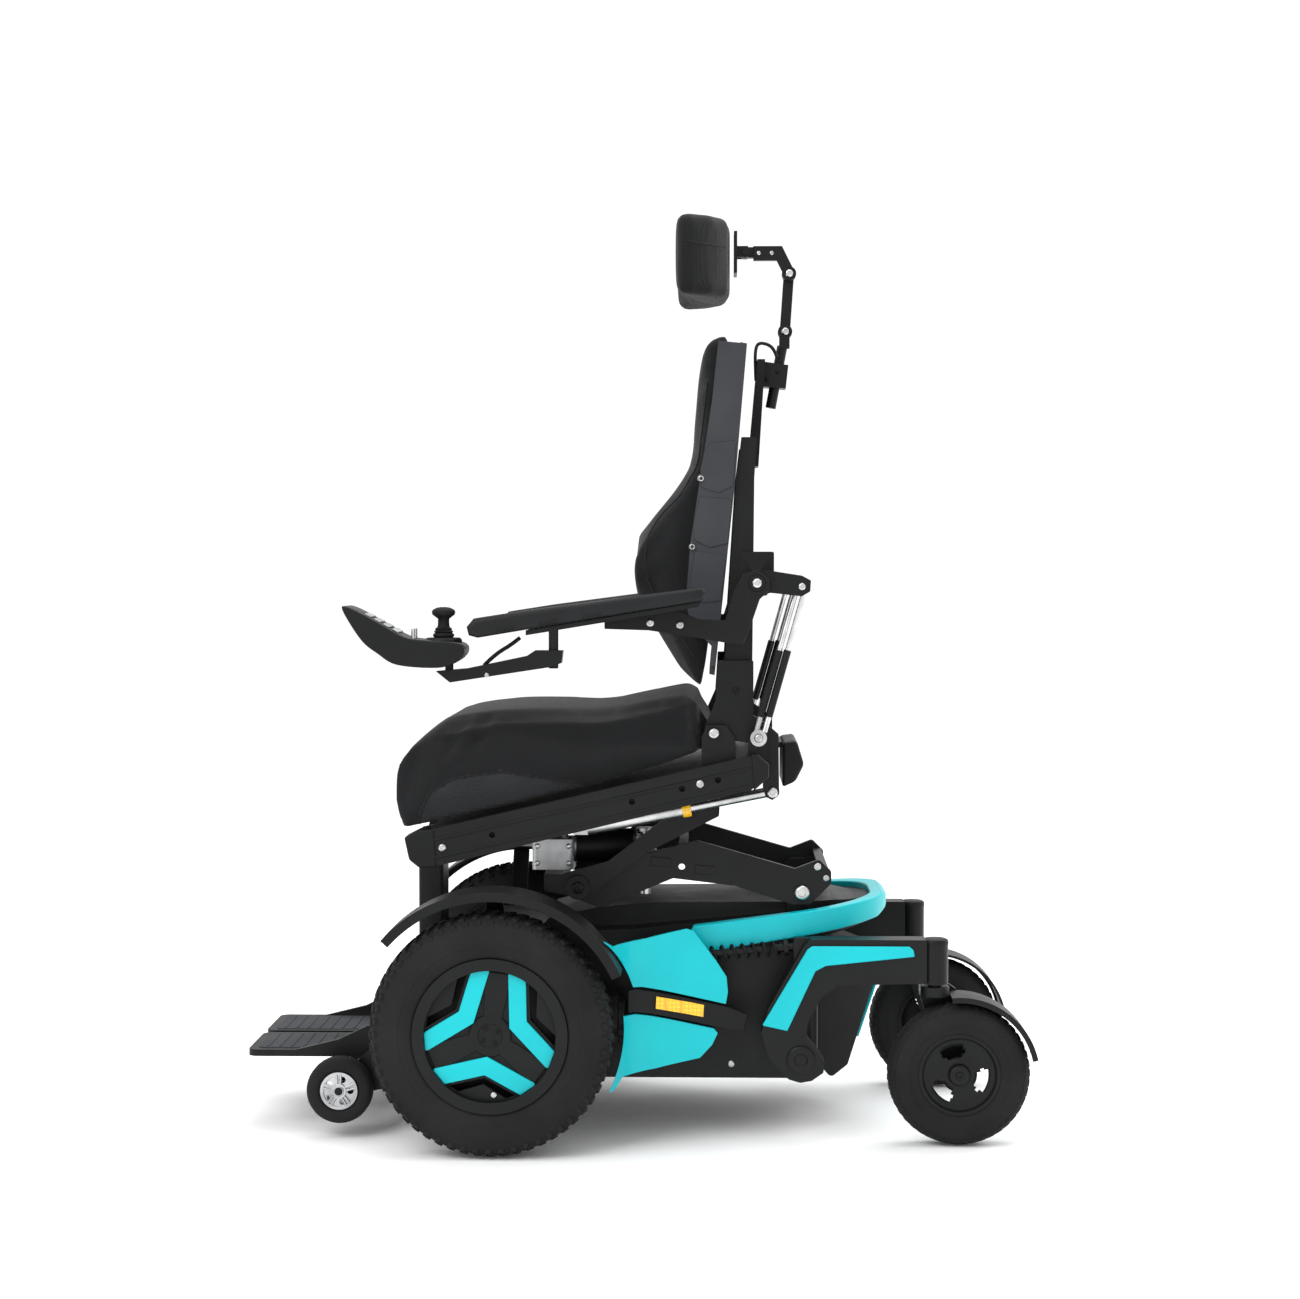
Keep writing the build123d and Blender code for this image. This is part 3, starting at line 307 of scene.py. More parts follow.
def cadPieces(node, finish, bevel=0.8, choose=None, segments=2, smoothAngle=38, rides=True):
    source = frame["nodes"][node]
    whole = bmesh.new()
    whole.from_mesh(source.data)
    bmesh.ops.remove_doubles(whole, verts=whole.verts, dist=2e-6)
    groups = {}
    for island in islandsOf(whole):
        low = Vector([min(v.co[i] for v in island) for i in range(3)]) / mm
        high = Vector([max(v.co[i] for v in island) for i in range(3)]) / mm
        key = choose(low, high) if choose else finish
        groups.setdefault(key, set()).update(v.index for v in island)
    whole.free()
    made = []
    for key, keep in groups.items():
        if key is None:
            continue
        part = bmesh.new()
        part.from_mesh(source.data)
        bmesh.ops.remove_doubles(part, verts=part.verts, dist=2e-6)
        part.verts.ensure_lookup_table()
        bmesh.ops.delete(part, geom=[v for v in part.verts if v.index not in keep], context="VERTS")
        bmesh.ops.dissolve_limit(part, angle_limit=radians(1.0), verts=part.verts, edges=part.edges)
        body = bodyOfNode[node] if rides else None
        piece = newPiece(f"{node}_{key}", part, key, body, bevel, segments, smoothAngle, scale=1)
        made.append(piece)
    for piece in made:
        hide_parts(node)
    return made


def addPlate(bm, outline, yLow, yHigh):
    verts = [bm.verts.new((x, yLow, z)) for x, z in outline]
    face = bm.faces.new(verts)
    grown = bmesh.ops.extrude_face_region(bm, geom=[face])
    bmesh.ops.translate(bm, vec=(0, yHigh - yLow, 0),
                        verts=[g for g in grown["geom"] if isinstance(g, bmesh.types.BMVert)])
    bmesh.ops.recalc_face_normals(bm, faces=bm.faces)


def addTurned(bm, profile, centre, axis, steps):
    centre = Vector(centre)
    axis = Vector(axis).normalized()
    out = axis.orthogonal().normalized()
    verts = [bm.verts.new(centre + axis * along + out * radius) for along, radius in profile]
    edges = [bm.edges.new(pair) for pair in zip(verts, verts[1:])]
    made = bmesh.ops.spin(bm, geom=verts + edges, cent=centre, axis=axis, angle=2 * pi, steps=steps,
                          use_merge=True)
    bmesh.ops.remove_doubles(bm, verts=bm.verts, dist=0.002)
    bmesh.ops.recalc_face_normals(bm, faces=bm.faces)
    return made


def addTube(bm, start, end, radius, segments=20, radiusEnd=None):
    start, end = Vector(start), Vector(end)
    run = end - start
    turn = Vector((0, 0, 1)).rotation_difference(run).to_matrix().to_4x4()
    bmesh.ops.create_cone(bm, cap_ends=True, segments=segments, radius1=radius,
                          radius2=radius if radiusEnd is None else radiusEnd, depth=run.length,
                          matrix=Matrix.Translation((start + end) / 2) @ turn)


def boltRow(name, bolts, body, finish="zincSteel"):
    bm = bmesh.new()
    for x, y, z, radius in bolts:
        side = -1 if y < 0 else 1
        profile = [(0, radius), (radius * 0.25, radius), (radius * 0.5, radius * 0.86),
                   (radius * 0.6, radius * 0.55), (radius * 0.6, radius * 0.5),
                   (radius * 0.25, radius * 0.44), (radius * 0.25, 0)]
        addTurned(bm, profile, (x, y, z), (0, side, 0), 18)
    return newPiece(name, bm, finish, body, smoothAngle=50)


def linkObject(name, data, body, finish):
    piece = bpy.data.objects.new(name, data)
    bpy.context.scene.collection.objects.link(piece)
    material, slotName = finishes[finish]
    data.materials.append(material)
    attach(piece, body)
    return piece


def curvePiece(name, points, radius, body, finish, cyclic=False, order=3):
    curve = bpy.data.curves.new(name, "CURVE")
    curve.dimensions = "3D"
    curve.bevel_depth = radius * mm
    curve.bevel_resolution = 3
    curve.resolution_u = 8
    curve.use_fill_caps = True
    spline = curve.splines.new("NURBS")
    spline.points.add(len(points) - 1)
    for point, (x, y, z) in zip(spline.points, points):
        point.co = (x * mm, y * mm, z * mm, 1)
    spline.order_u = order
    spline.use_endpoint_u = not cyclic
    spline.use_cyclic_u = cyclic
    return linkObject(name, curve, body, finish)


view = {"place": (0.1195, -3.671, 0.845), "yaw": 1.574, "pitch": 1.924, "lens": 65.5}


def makeStage():
    camera = bpy.data.objects.new("camera", bpy.data.cameras.new("camera"))
    camera.data.lens = view["lens"]
    camera.data.sensor_width = 36
    camera.data.dof.use_dof = False
    camera.location = view["place"]
    yaw, pitch = radians(view["yaw"]), radians(view["pitch"])
    forward = Vector((-sin(yaw) * cos(pitch), cos(yaw) * cos(pitch), -sin(pitch)))
    camera.rotation_euler = forward.to_track_quat("-Z", "Y").to_euler()
    bpy.context.scene.collection.objects.link(camera)
    bpy.context.scene.camera = camera

    bm = bmesh.new()
    bmesh.ops.create_grid(bm, x_segments=2, y_segments=2, size=14)
    mesh = bpy.data.meshes.new("floor")
    bm.to_mesh(mesh)
    bm.free()
    floor = bpy.data.objects.new("floor", mesh)
    bpy.context.scene.collection.objects.link(floor)
    floor.location = (0, 0, cadBox[0][2])
    mesh.materials.append(startMaterial("paleFloor", "#FFFFFF", 1.0)[0])

    world = bpy.data.worlds.new("softWhite")
    bpy.context.scene.world = world
    world.use_nodes = True
    world.node_tree.nodes["Background"].inputs["Color"].default_value = linear("#FFFFFF")
    world.node_tree.nodes["Background"].inputs["Strength"].default_value = 1.06
    bpy.context.scene.view_settings.view_transform = "Standard"
    lamps = (("keyLight", (-2.2, -3.0, 3.6), 2.6, 85), ("topLight", (0.5, 0.4, 4.2), 3.0, 80),
             ("rearLight", (3.2, 1.5, 2.4), 1.8, 45))
    for name, place, size, power in lamps:
        lamp = bpy.data.lights.new(name, "AREA")
        lamp.size = size
        lamp.energy = power
        light = bpy.data.objects.new(name, lamp)
        light.location = place
        light.rotation_euler = (Vector((0, 0, 0.6)) - Vector(place)).to_track_quat("-Z", "Y").to_euler()
        bpy.context.scene.collection.objects.link(light)
    print("stage ready")


makeStage()


drive = {"x": -202, "z": 178, "track": 287, "lugs": 56, "steps": 112}
caster = {"x": 478, "z": 106, "track": 201, "lugs": 44, "steps": 88}
antitip = {"x": -438, "z": 72, "track": 185}


def addLug(bm, centre, angle, radius, y, size, slant, lean):
    made = bmesh.ops.create_cube(bm, size=1)
    verts = made["verts"]
    bmesh.ops.scale(bm, vec=size, verts=verts)
    top = [v for v in verts if v.co.z > 0]
    bmesh.ops.scale(bm, vec=(0.82, 0.9, 1), verts=top)
    bmesh.ops.rotate(bm, cent=(0, 0, 0), matrix=Matrix.Rotation(slant, 3, "Z"), verts=verts)
    bmesh.ops.rotate(bm, cent=(0, 0, 0), matrix=Matrix.Rotation(lean, 3, "X"), verts=verts)
    bmesh.ops.translate(bm, vec=(0, y, radius), verts=verts)
    bmesh.ops.rotate(bm, cent=(0, 0, 0), matrix=Matrix.Rotation(angle, 3, "Y"), verts=verts)
    bmesh.ops.translate(bm, vec=centre, verts=verts)


def makeDriveTyre(side, label):
    bm = bmesh.new()
    centre = (drive["x"], side * drive["track"], drive["z"])
    half = [(26, 112), (31, 113), (34, 118), (36, 126), (36.4, 127), (36.4, 131), (37.2, 132), (37.4, 144),
            (37.0, 145), (37.0, 149), (36.4, 150), (35.2, 158), (33, 164), (29, 169), (20, 172.6), (8, 173.4)]
    profile = [(along, radius) for along, radius in half]
    profile += [(-along, radius) for along, radius in reversed(half)]
    addTurned(bm, profile, centre, (0, 1, 0), drive["steps"])
    for i in range(drive["lugs"]):
        angle = 2 * pi * i / drive["lugs"]
        for row in (-1, 1):
            shift = 0.5 * (row > 0) * 2 * pi / drive["lugs"]
            addLug(bm, centre, angle + shift, 170.6, row * 20, (9.5, 20, 8), row * 0.3, -row * 0.2)
            addLug(bm, centre, angle + shift + 0.015, 163.5, row * 32.2, (8.5, 6, 9), 0, -row * 0.6)
        addLug(bm, centre, angle + 0.03, 173.4, 0, (8, 14, 6), 0.5, 0)
    tyre = newPiece(f"driveTyre_{label}", bm, "tyreRubber", f"drive_wheel_{label}", smoothAngle=32)
    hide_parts(f"drive_tyre_{label}")


def makeDriveRim(side, label):
    body = f"drive_wheel_{label}"

    def pick(low, high):
        return "wheelNylon" if high.x - low.x > 150 else "tealPaint"

    cadPieces(f"drive_rim_{label}", "wheelNylon", 1.2, pick)
    # stepped lip, hub boss and dark back plate seen through the windows
    bm = bmesh.new()
    centre = (drive["x"], side * drive["track"], drive["z"])
    lip = [(24, 112.5), (27.5, 112.5), (29, 110), (29, 104), (27.4, 102.6), (27.4, 100), (28.4, 99),
           (28.4, 96.6), (26, 95.2), (20, 95), (18, 97)]
    addTurned(bm, [(side * a, r) for a, r in lip], centre, (0, 1, 0), 96)
    newPiece(f"rimLip_{label}", bm, "wheelNylon", body, smoothAngle=30)
    bm = bmesh.new()
    boss = [(22, 31), (24.5, 29.5), (25.2, 27), (25.2, 18), (24, 17), (24, 0)]
    addTurned(bm, [(side * a, r) for a, r in boss], centre, (0, 1, 0), 60)
    newPiece(f"hubBoss_{label}", bm, "wheelNylon", body, smoothAngle=30)
    bm = bmesh.new()
    back = [(-6, 100), (-4, 100), (-2, 96), (-2, 34), (-6, 30)]
    addTurned(bm, [(side * a, r) for a, r in back], centre, (0, 1, 0), 60)
    newPiece(f"brakeCover_{label}", bm, "mouldedBlack", body, smoothAngle=30)
    # ribs along the three spokes
    for angle in (82, 202, 322):
        turn = radians(angle)
        bm = bmesh.new()
        outline = [(26, -13), (92, -21), (92, 21), (26, 13)]
        points = [(drive["x"] + (-side) * (u * cos(turn) - v * sin(turn)),
                   drive["z"] + u * sin(turn) + v * cos(turn)) for u, v in outline]
        y0 = side * (drive["track"] + 21.5)
        addPlate(bm, points, y0, y0 + side * 3.2)
        newPiece(f"spoke_{label}_{angle}", bm, "wheelNylon", body, bevel=2.2, segments=3)
    valve = (drive["x"] - side * 5, side * (drive["track"] + 22), drive["z"] - 86, 5)
    boltRow(f"driveBolt_{label}", [valve], body)
    ring = [(drive["x"] + 12 * cos(t), side * (drive["track"] + 24), drive["z"] + 12 * sin(t), 3.2)
            for t in (0.5, 2.1, 3.7, 5.3)]
    boltRow(f"hubBolts_{label}", ring, body, "wheelNylon")


def makeCaster(side, label):
    centre = (caster["x"], side * caster["track"], caster["z"])
    bm = bmesh.new()
    half = [(18, 60), (22, 61), (25, 66), (26.5, 74), (27.4, 75), (27.6, 84), (26.8, 91), (24, 97),
            (19, 101), (11, 103.2), (4, 103.6)]
    profile = half + [(-a, r) for a, r in reversed(half)]
    addTurned(bm, profile, centre, (0, 1, 0), caster["steps"])
    for i in range(caster["lugs"]):
        angle = 2 * pi * i / caster["lugs"]
        for row in (-1, 1):
            addLug(bm, centre, angle + row * 0.03, 101.0, row * 11.5, (9.6, 16, 5), row * 0.55, -row * 0.2)
            addLug(bm, centre, angle + row * 0.03 - 0.075, 94.6, row * 22.6, (9.2, 5, 6), 0, -row * 0.75)
    tyre = newPiece(f"casterTyre_{label}", bm, "tyreRubber", f"caster_wheel_{label}", smoothAngle=32)
    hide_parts(f"caster_tyre_{label}")

    # hub: dished disc with three crescent windows
    bm = bmesh.new()
    rim = [(18, 61), (21, 61), (22, 59), (22, 55), (20, 53.6), (16, 53)]
    for face in (side, -side):
        addTurned(bm, [(face * a, r) for a, r in rim], centre, (0, 1, 0), 64)
    barrel = [(-20, 54.5), (-20, 60.5), (20, 60.5), (20, 54.5), (-20, 54.5)]
    addTurned(bm, [(side * a, r) for a, r in barrel], centre, (0, 1, 0), 64)
    hub = [(26, 0), (26, 12), (24.5, 14.4), (20, 15.4), (10, 15.5), (10, 9)]
    addTurned(bm, [(side * a, r) for a, r in hub], centre, (0, 1, 0), 40)
    ring = newPiece(f"casterHub_{label}", bm, "wheelNylon", f"caster_wheel_{label}", smoothAngle=30)
    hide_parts(f"caster_hub_{label}")
    bm = bmesh.new()
    dish = [(14 + 40.5 * i / 7, 17 - 4.5 * sin(pi * i / 7)) for i in range(8)]
    addTurned(bm, [(side * along, radius) for radius, along in dish], centre, (0, 1, 0), 96)
    windows = []
    for face in bm.faces:
        middle = face.calc_center_median() - Vector(centre)
        reach = Vector((middle.x, middle.z)).length
        turn = degrees(Vector((middle.x, middle.z)).angle_signed(Vector((1, 0))))
        gap = min(abs((turn - window + 180) % 360 - 180) for window in (106, 226, 346))
        if 26 < reach < 43 and gap < 31 - 1.3 * abs(reach - 34.5):
            windows.append(face)
    bmesh.ops.delete(bm, geom=windows, context="FACES")
    disc = newPiece(f"casterDisc_{label}", bm, "wheelNylon", f"caster_wheel_{label}", smoothAngle=45)
    wall = disc.modifiers.new("wall", "SOLIDIFY")
    wall.thickness = 4 * mm
    wall.offset = 0
    boltRow(f"casterBolt_{label}", [(centre[0], side * 227, centre[2], 6)],
            f"caster_wheel_{label}", "wheelNylon")


def makeAntitip(side, label):
    def pick(low, high):
        return "tyreRubber" if high.x - low.x > 80 else "castAluminium"

    cadPieces(f"antitip_wheel_{label}", "tyreRubber", 0.8, pick)
    centre = Vector((antitip["x"], side * antitip["track"], antitip["z"]))
    bm = bmesh.new()
    for i in range(5):
        for split in (-0.13, 0.13):
            turn = 2 * pi * i / 5 + pi / 2
            inner = Vector((9 * cos(turn + 2 * split), side * 13, 9 * sin(turn + 2 * split)))
            outer = Vector((25 * cos(turn + split), side * 13, 25 * sin(turn + split)))
            addTube(bm, centre + inner, centre + outer, 1.7, 12)
    addTurned(bm, [(side * 16, 0), (side * 16, 7), (side * 14, 9), (side * 11, 9)], centre, (0, 1, 0), 32)
    newPiece(f"antitipSpokes_{label}", bm, "castAluminium", f"antitip_{label}", smoothAngle=40)


for side, label in sides:
    makeDriveTyre(side, label)
    makeDriveRim(side, label)
    makeCaster(side, label)
    makeAntitip(side, label)
print("wheels ready")


reflectorStrip = {"outline": [(34, 221), (104, 206), (103, 188), (33, 203)]}
fairingRun = [(-40, 300), (-14, 252), (20, 222), (80, 206), (140, 198), (172, 194)]


def fairingReach(x):
    for (xa, ya), (xb, yb) in zip(fairingRun, fairingRun[1:]):
        if x <= xb:
            return ya + (yb - ya) * (x - xa) / (xb - xa)
    return fairingRun[-1][1]


def fairingPatch(outline, side, lift, depth):
    bm = bmesh.new()
    addPlate(bm, outline, 0, side * depth)
    cuts = [e for e in bm.edges if abs(e.verts[0].co.x - e.verts[1].co.x) > 20]
    bmesh.ops.subdivide_edges(bm, edges=cuts, cuts=9, use_grid_fill=True)
    for v in bm.verts:
        v.co.y += side * (fairingReach(v.co.x) + lift)
    return bm


def pickChassis(low, high):
    isShock = low.z > 255 and abs(abs((low.y + high.y) / 2) - 188) < 8 and high.z < 305
    return "mouldedBlack" if isShock else "powderCoat"


def pickArm(low, high):
    return "tealPaint" if high.y - low.y < 6 else "powderCoat"


def makeBase():
    cadPieces("chassis_frame", "powderCoat", 1.0, pickChassis)
    cadPieces("batteries", "caseBlack", 2.0)
    cadPieces("drive_motors", "powderCoat", 2.0)
    cadPieces("top_cover", "mouldedBlack", 2.0, segments=3)
    cadPieces("top_trim", "tealPaint", 3.0, segments=4)
    cadPieces("side_panels", "tealPaint", 1.5, segments=3)
    cadPieces("side_bands", "mouldedBlack", 2.0, segments=3)
    cadPieces("wheel_fenders", "mouldedBlack", 1.4)
    cadPieces("tail_cover", "mouldedBlack", 3.0, segments=3)
    for side, label in sides:
        cadPieces(f"caster_arm_{label}", "powderCoat", 1.6, pickArm, segments=3)
        for spring in cadPieces(f"coil_spring_{label}", "softRubber", 0, rides=False):
            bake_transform(spring)
        cadPieces(f"caster_fork_{label}", "powderCoat", 1.6, segments=3)
        # pivot cap and stem cap
        bm = bmesh.new()
        cap = [(220, 21), (223, 20.4), (224.5, 18), (224.5, 10), (223, 8.6), (223, 0)]
        addTurned(bm, [(side * a, r) for a, r in cap], (246, 0, 127), (0, 1, 0), 48)
        newPiece(f"armPivotCap_{label}", bm, "powderCoat", f"rear_arm_{label}", smoothAngle=30)
        bm = bmesh.new()
        stem = [(296, 20), (300, 20), (303, 18.6), (304.5, 15), (304.5, 0)]
        addTurned(bm, stem, (443, side * 201, 0), (0, 0, 1), 40)
        newPiece(f"stemCap_{label}", bm, "mouldedBlack", f"rear_arm_{label}", smoothAngle=30)
    for side, label in sides:
        reflector = fairingPatch(reflectorStrip["outline"], side, 8.2, 1.8)
        newPiece(f"sideReflector_{label}", reflector, "amberLens", "chassis", bevel=0.6)
    boltRow("armBolts", [(98, s * 201, 276, 6) for s in (-1, 1)] + [(144, s * 196, 116, 5) for s in (-1, 1)],
            "chassis")


makeBase()
print("base ready")


def makeLift():
    cadPieces("lift_arm", "powderCoat", 1.4)
    cadPieces("seat_carriage", "powderCoat", 1.4)
    cadPieces("tilt_screw", "zincSteel", 0.6)
    for piece in cadPieces("tilt_actuator", "castAluminium", 2.5, segments=3):
        piece.data.name = "tiltGearbox"
    for side, label in sides:
        for x, z in ((39, 408), (105, 396)):
            bm = bmesh.new()
            addPlate(bm, [(x - 16, z - 6), (x + 15, z - 8), (x + 16, z + 5), (x - 15, z + 8)],
                     side * 137, side * 139.2)
            newPiece(f"liftEmboss_{label}_{x}", bm, "powderCoat", "lift", bevel=1.6, segments=3)
    boltRow("liftPivotBolts", [(250, s * 139.5, 362, 12) for s in (-1, 1)], "chassis")
    rearBolts = [(x, s * 138, z, radius) for x, z, radius in ((273, 401, 6), (286, 384, 5)) for s in (-1, 1)]
    boltRow("liftBolts", rearBolts, "lift")
    boltRow("carriageBolts", [(-85, s * 158, 371, 9) for s in (-1, 1)], "carriage", "mouldedBlack")
    # black motor sleeve and base cap over the cast gearbox
    bm = bmesh.new()
    y = -66
    sleeve = [(-92, 0), (-92, 24), (-90, 26.4), (-8, 26.4), (-2, 24), (0, 20), (0, 0)]
    addTurned(bm, [(a, r) for a, r in sleeve], (0, y, 424), (1, 0, 0), 48)
    newPiece("motorSleeve", bm, "mouldedBlack", "carriage", smoothAngle=35)
    bm = bmesh.new()
    for z, radius in ((436, 15), (441, 9)):
        addTube(bm, (-140, y, z - 6), (-140, y, z + 2), radius, 28)
        addTube(bm, (-112, y, z - 6), (-112, y, z + 2), radius * 0.8, 28)
    newPiece("gearboxLugs", bm, "castAluminium", "carriage", bevel=0.8)
    boltRow("gearboxBolts", [(x, y - 31, z, 4) for x in (-150, -102) for z in (400, 426)], "carriage")


def makeSeatFrame():
    cadPieces("seat_frame", "powderCoat", 1.2)
    cadPieces("power_module", "mouldedBlack", 5.0, segments=4)
    slope = 0.233
    for side, label in sides:
        # two raised ribs along the rail, as rolled into the extrusion
        for drop, height in ((14, 4), (40, 4)):
            bm = bmesh.new()
            front, rear = (-300, 463 - drop + 2), (172, 463 + slope * 482 - drop - 2)
            addPlate(bm, [front, (front[0], front[1] - height), (rear[0], rear[1] - height), rear],
                     side * 240, side * 241.6)
            newPiece(f"railRib_{label}_{drop}", bm, "powderCoat", "seat", bevel=0.7)
        # moulded end caps
        bm = bmesh.new()
        addPlate(bm, [(-334, 455), (-327, 422), (-312, 410), (-286, 411), (-290, 466), (-312, 466)],
                 side * 204, side * 242)
        newPiece(f"railCapFront_{label}", bm, "mouldedBlack", "seat", bevel=3, segments=3)
        bm = bmesh.new()
        addPlate(bm, [(176, 524), (198, 544), (198, 563), (181, 578), (172, 578)], side * 204, side * 242)
        newPiece(f"railCapRear_{label}", bm, "mouldedBlack", "seat", bevel=3, segments=3)
        boltRow(f"railBolts_{label}", [(-278, side * 240, 440, 6), (98, side * 240, 534, 6)], "seat")
        boltRow(f"reclinePivotBolt_{label}", [(118, side * 218, 606, 8)], "back")
        boltRow(f"lugBolt_{label}", [(183, side * 242, 601, 6)], "seat")
    print("seat frame ready")


makeLift()
makeSeatFrame()


def applyPuff(piece, voxel, pressure, cap, flatBelow, smoothing=2):
    remesh = piece.modifiers.new("skin", "REMESH")
    remesh.mode = "VOXEL"
    remesh.voxel_size = voxel
    bpy.context.view_layer.update()
    graph = bpy.context.evaluated_depsgraph_get()
    fine = bpy.data.meshes.new_from_object(piece.evaluated_get(graph))
    piece.modifiers.clear()
    piece.data = fine
    start = [v.co.copy() for v in fine.vertices]
    held = piece.vertex_groups.new(name="held")
    for v in fine.vertices:
        weight = 1.0 if flatBelow(v.co) else 0.0
        held.add([v.index], weight, "REPLACE")
    cloth = piece.modifiers.new("puff", "CLOTH")
    cloth.settings.use_pressure = True
    cloth.settings.uniform_pressure_force = pressure
    cloth.settings.effector_weights.gravity = 0
    cloth.settings.quality = 5
    cloth.settings.mass = 0.3
    cloth.settings.tension_stiffness = 15
    cloth.settings.compression_stiffness = 15
    cloth.settings.shear_stiffness = 5
    cloth.settings.bending_stiffness = 0.5
    cloth.settings.vertex_group_mass = "held"
    cloth.collision_settings.use_collision = False
    for step in range(1, 21):
        bpy.context.scene.frame_set(step)
    graph = bpy.context.evaluated_depsgraph_get()
    moved = [v.co.copy() for v in piece.evaluated_get(graph).data.vertices]
    piece.modifiers.clear()
    for v, before, after in zip(fine.vertices, start, moved):
        shift = after - before
        if shift.length > cap:
            shift *= cap / shift.length
        v.co = before + shift
    bpy.context.scene.frame_set(1)
    bm = bmesh.new()
    bm.from_mesh(fine)
    for _ in range(smoothing):
        bmesh.ops.smooth_vert(bm, verts=bm.verts, factor=0.5,
                              use_axis_x=True, use_axis_y=True, use_axis_z=True)
    for face in bm.faces:
        face.smooth = True
    bm.to_mesh(fine)
    bm.free()


def rounded(points, steps=4):
    made = []
    count = len(points)
    for i in range(count):
        a, b, c, d = (Vector(points[(i + k) % count]) for k in (-1, 0, 1, 2))
        for step in range(steps):
            t = step / steps
            place = 0.5 * (2 * b + (c - a) * t + (2 * a - 5 * b + 4 * c - d) * t ** 2
                           + (3 * b - a - 3 * c + d) * t ** 3)
            made.append((place.x, place.y))
    return made


def paintSide(pad, seam, finish):
    pad.data.materials.append(finishes[finish][0])
    for face in pad.data.polygons:
        x, z = face.center.x / mm, face.center.z / mm
        if abs(face.normal.y) < 0.45 or not seam[0][0] <= x <= seam[-1][0]:
            continue
        for (xa, za), (xb, zb) in zip(seam, seam[1:]):
            if xa <= x <= xb and z < za + (zb - za) * (x - xa) / max(xb - xa, 0.001):
                face.material_index = 1


def paddedSolid(name, outline, halfWidth, finish, body, shrink, bulge):
    bm = bmesh.new()
    addPlate(bm, rounded(outline), -halfWidth + shrink, halfWidth - shrink)
    rim = [edge for edge in bm.edges if abs(edge.verts[0].co.y - edge.verts[1].co.y) < 1]
    bmesh.ops.bevel(bm, geom=rim, offset=bulge, offset_type="OFFSET", segments=4, profile=0.5,
                    affect="EDGES", material=-1, clamp_overlap=True)
    return newPiece(name, bm, finish, body)


def seamOn(piece, name, points, side, body, radius=1.5, reach=60, finish="stretchKnit"):
    bpy.context.view_layer.update()
    route = []
    for x, z in points:
        hit, place, _, _ = piece.ray_cast(Vector((x, side * 400, z)) * mm, Vector((0, -side, 0)))
        if hit and abs(place.y / mm) > reach:
            route.append((place.x / mm, place.y / mm, place.z / mm))
    if len(route) > 2:
        return curvePiece(name, route, radius, body, finish)
    return None


def densify(points, times=3):
    made = []
    for a, b in zip(points, points[1:]):
        for i in range(times):
            t = i / times
            made.append((a[0] + (b[0] - a[0]) * t, a[1] + (b[1] - a[1]) * t))
    return made + [points[-1]]


# planes that the cushions rest on, in metres: seat height over x, back depth over z
seatRest = {"x": -0.31, "z": 0.463, "slope": 0.233, "band": 0.022}
backRest = {"x": 0.118, "z": 0.76, "slope": 0.106, "band": 0.012}


def onSeatPan(co):
    return co.z < seatRest["z"] + seatRest["slope"] * (co.x - seatRest["x"]) + seatRest["band"]


def onBackShell(co):
    return co.x > backRest["x"] + backRest["slope"] * (co.z - backRest["z"]) - backRest["band"]


seatPad = {
    "side": [(-352, 520), (-354, 550), (-341, 576), (-315, 596), (-272, 614), (-195, 626), (-107, 628),
             (-48, 627), (25, 640), (96, 653), (106, 648), (111, 624), (111, 588), (-31, 538), (-318, 470),
             (-336, 472), (-349, 490)],
    "half": 222, "voxel": 0.0065, "pressure": 4.0, "cap": 0.013,
    "boxing": [(-315, 472), (-313, 489), (-297, 520), (-261, 541), (-195, 550), (-107, 537), (-34, 522),
               (-23, 518)],
}
backPad = {
    "side": [(143, 1190), (118, 1181), (106, 1136), (99, 1064), (89, 993), (38, 921), (6, 882), (-6, 845),
             (8, 812), (24, 790), (92, 680), (102, 692), (112, 760), (134, 976), (147, 1170)],
    "half": 193, "voxel": 0.0065, "pressure": 4.0, "cap": 0.010,
}


def makeSeatPad():
    pad = paddedSolid("seatCushion", seatPad["side"], seatPad["half"], "stretchKnit", "seat", 7, 22)
    applyPuff(pad, seatPad["voxel"], seatPad["pressure"], seatPad["cap"], onSeatPan)
    trimNotch(pad)
    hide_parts("seat_cushion")
    paintSide(pad, seatPad["boxing"], "sideMesh")
    for side, label in sides:
        seamOn(pad, f"seatBoxing_{label}", densify(seatPad["boxing"]), side, "seat", 1.7)
    print("seat cushion ready")


def trimNotch(pad):
    for v in pad.data.vertices:
        x, y = v.co.x, v.co.y
        if x > 0.090 and abs(y) > 0.180:
            t = min(1.0, (x - 0.090) / 0.008)
            limit = 0.220 - t * 0.034
            if abs(y) > limit:
                v.co.y = limit if y > 0 else -limit


def makeBackPad():
    pad = paddedSolid("backCushion", backPad["side"], backPad["half"], "stretchKnit", "back", 6, 18)
    applyPuff(pad, backPad["voxel"], backPad["pressure"], backPad["cap"], onBackShell)
    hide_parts("back_cushion")
    for side, label in sides:
        fin = [(100, 1120), (94, 1064), (86, 1000), (60, 955), (30, 925), (12, 895), (8, 860), (14, 825),
               (40, 785), (80, 720)]
        seamOn(pad, f"backBoxing_{label}", densify([(x + 8, z) for x, z in fin], 2), side, "back", 1.6)
    print("back cushion ready")


headPad = {"low": 1252, "high": 1386, "voxel": 0.004, "pressure": 4.0, "cap": 0.007,
           "plan": [(80, 0), (80, 40), (74, 70), (62, 104), (66, 120), (84, 119), (116, 96), (138, 60),
                    (142, 0)],
           "dart": [(70, 1338), (95, 1334), (120, 1334), (136, 1336)]}


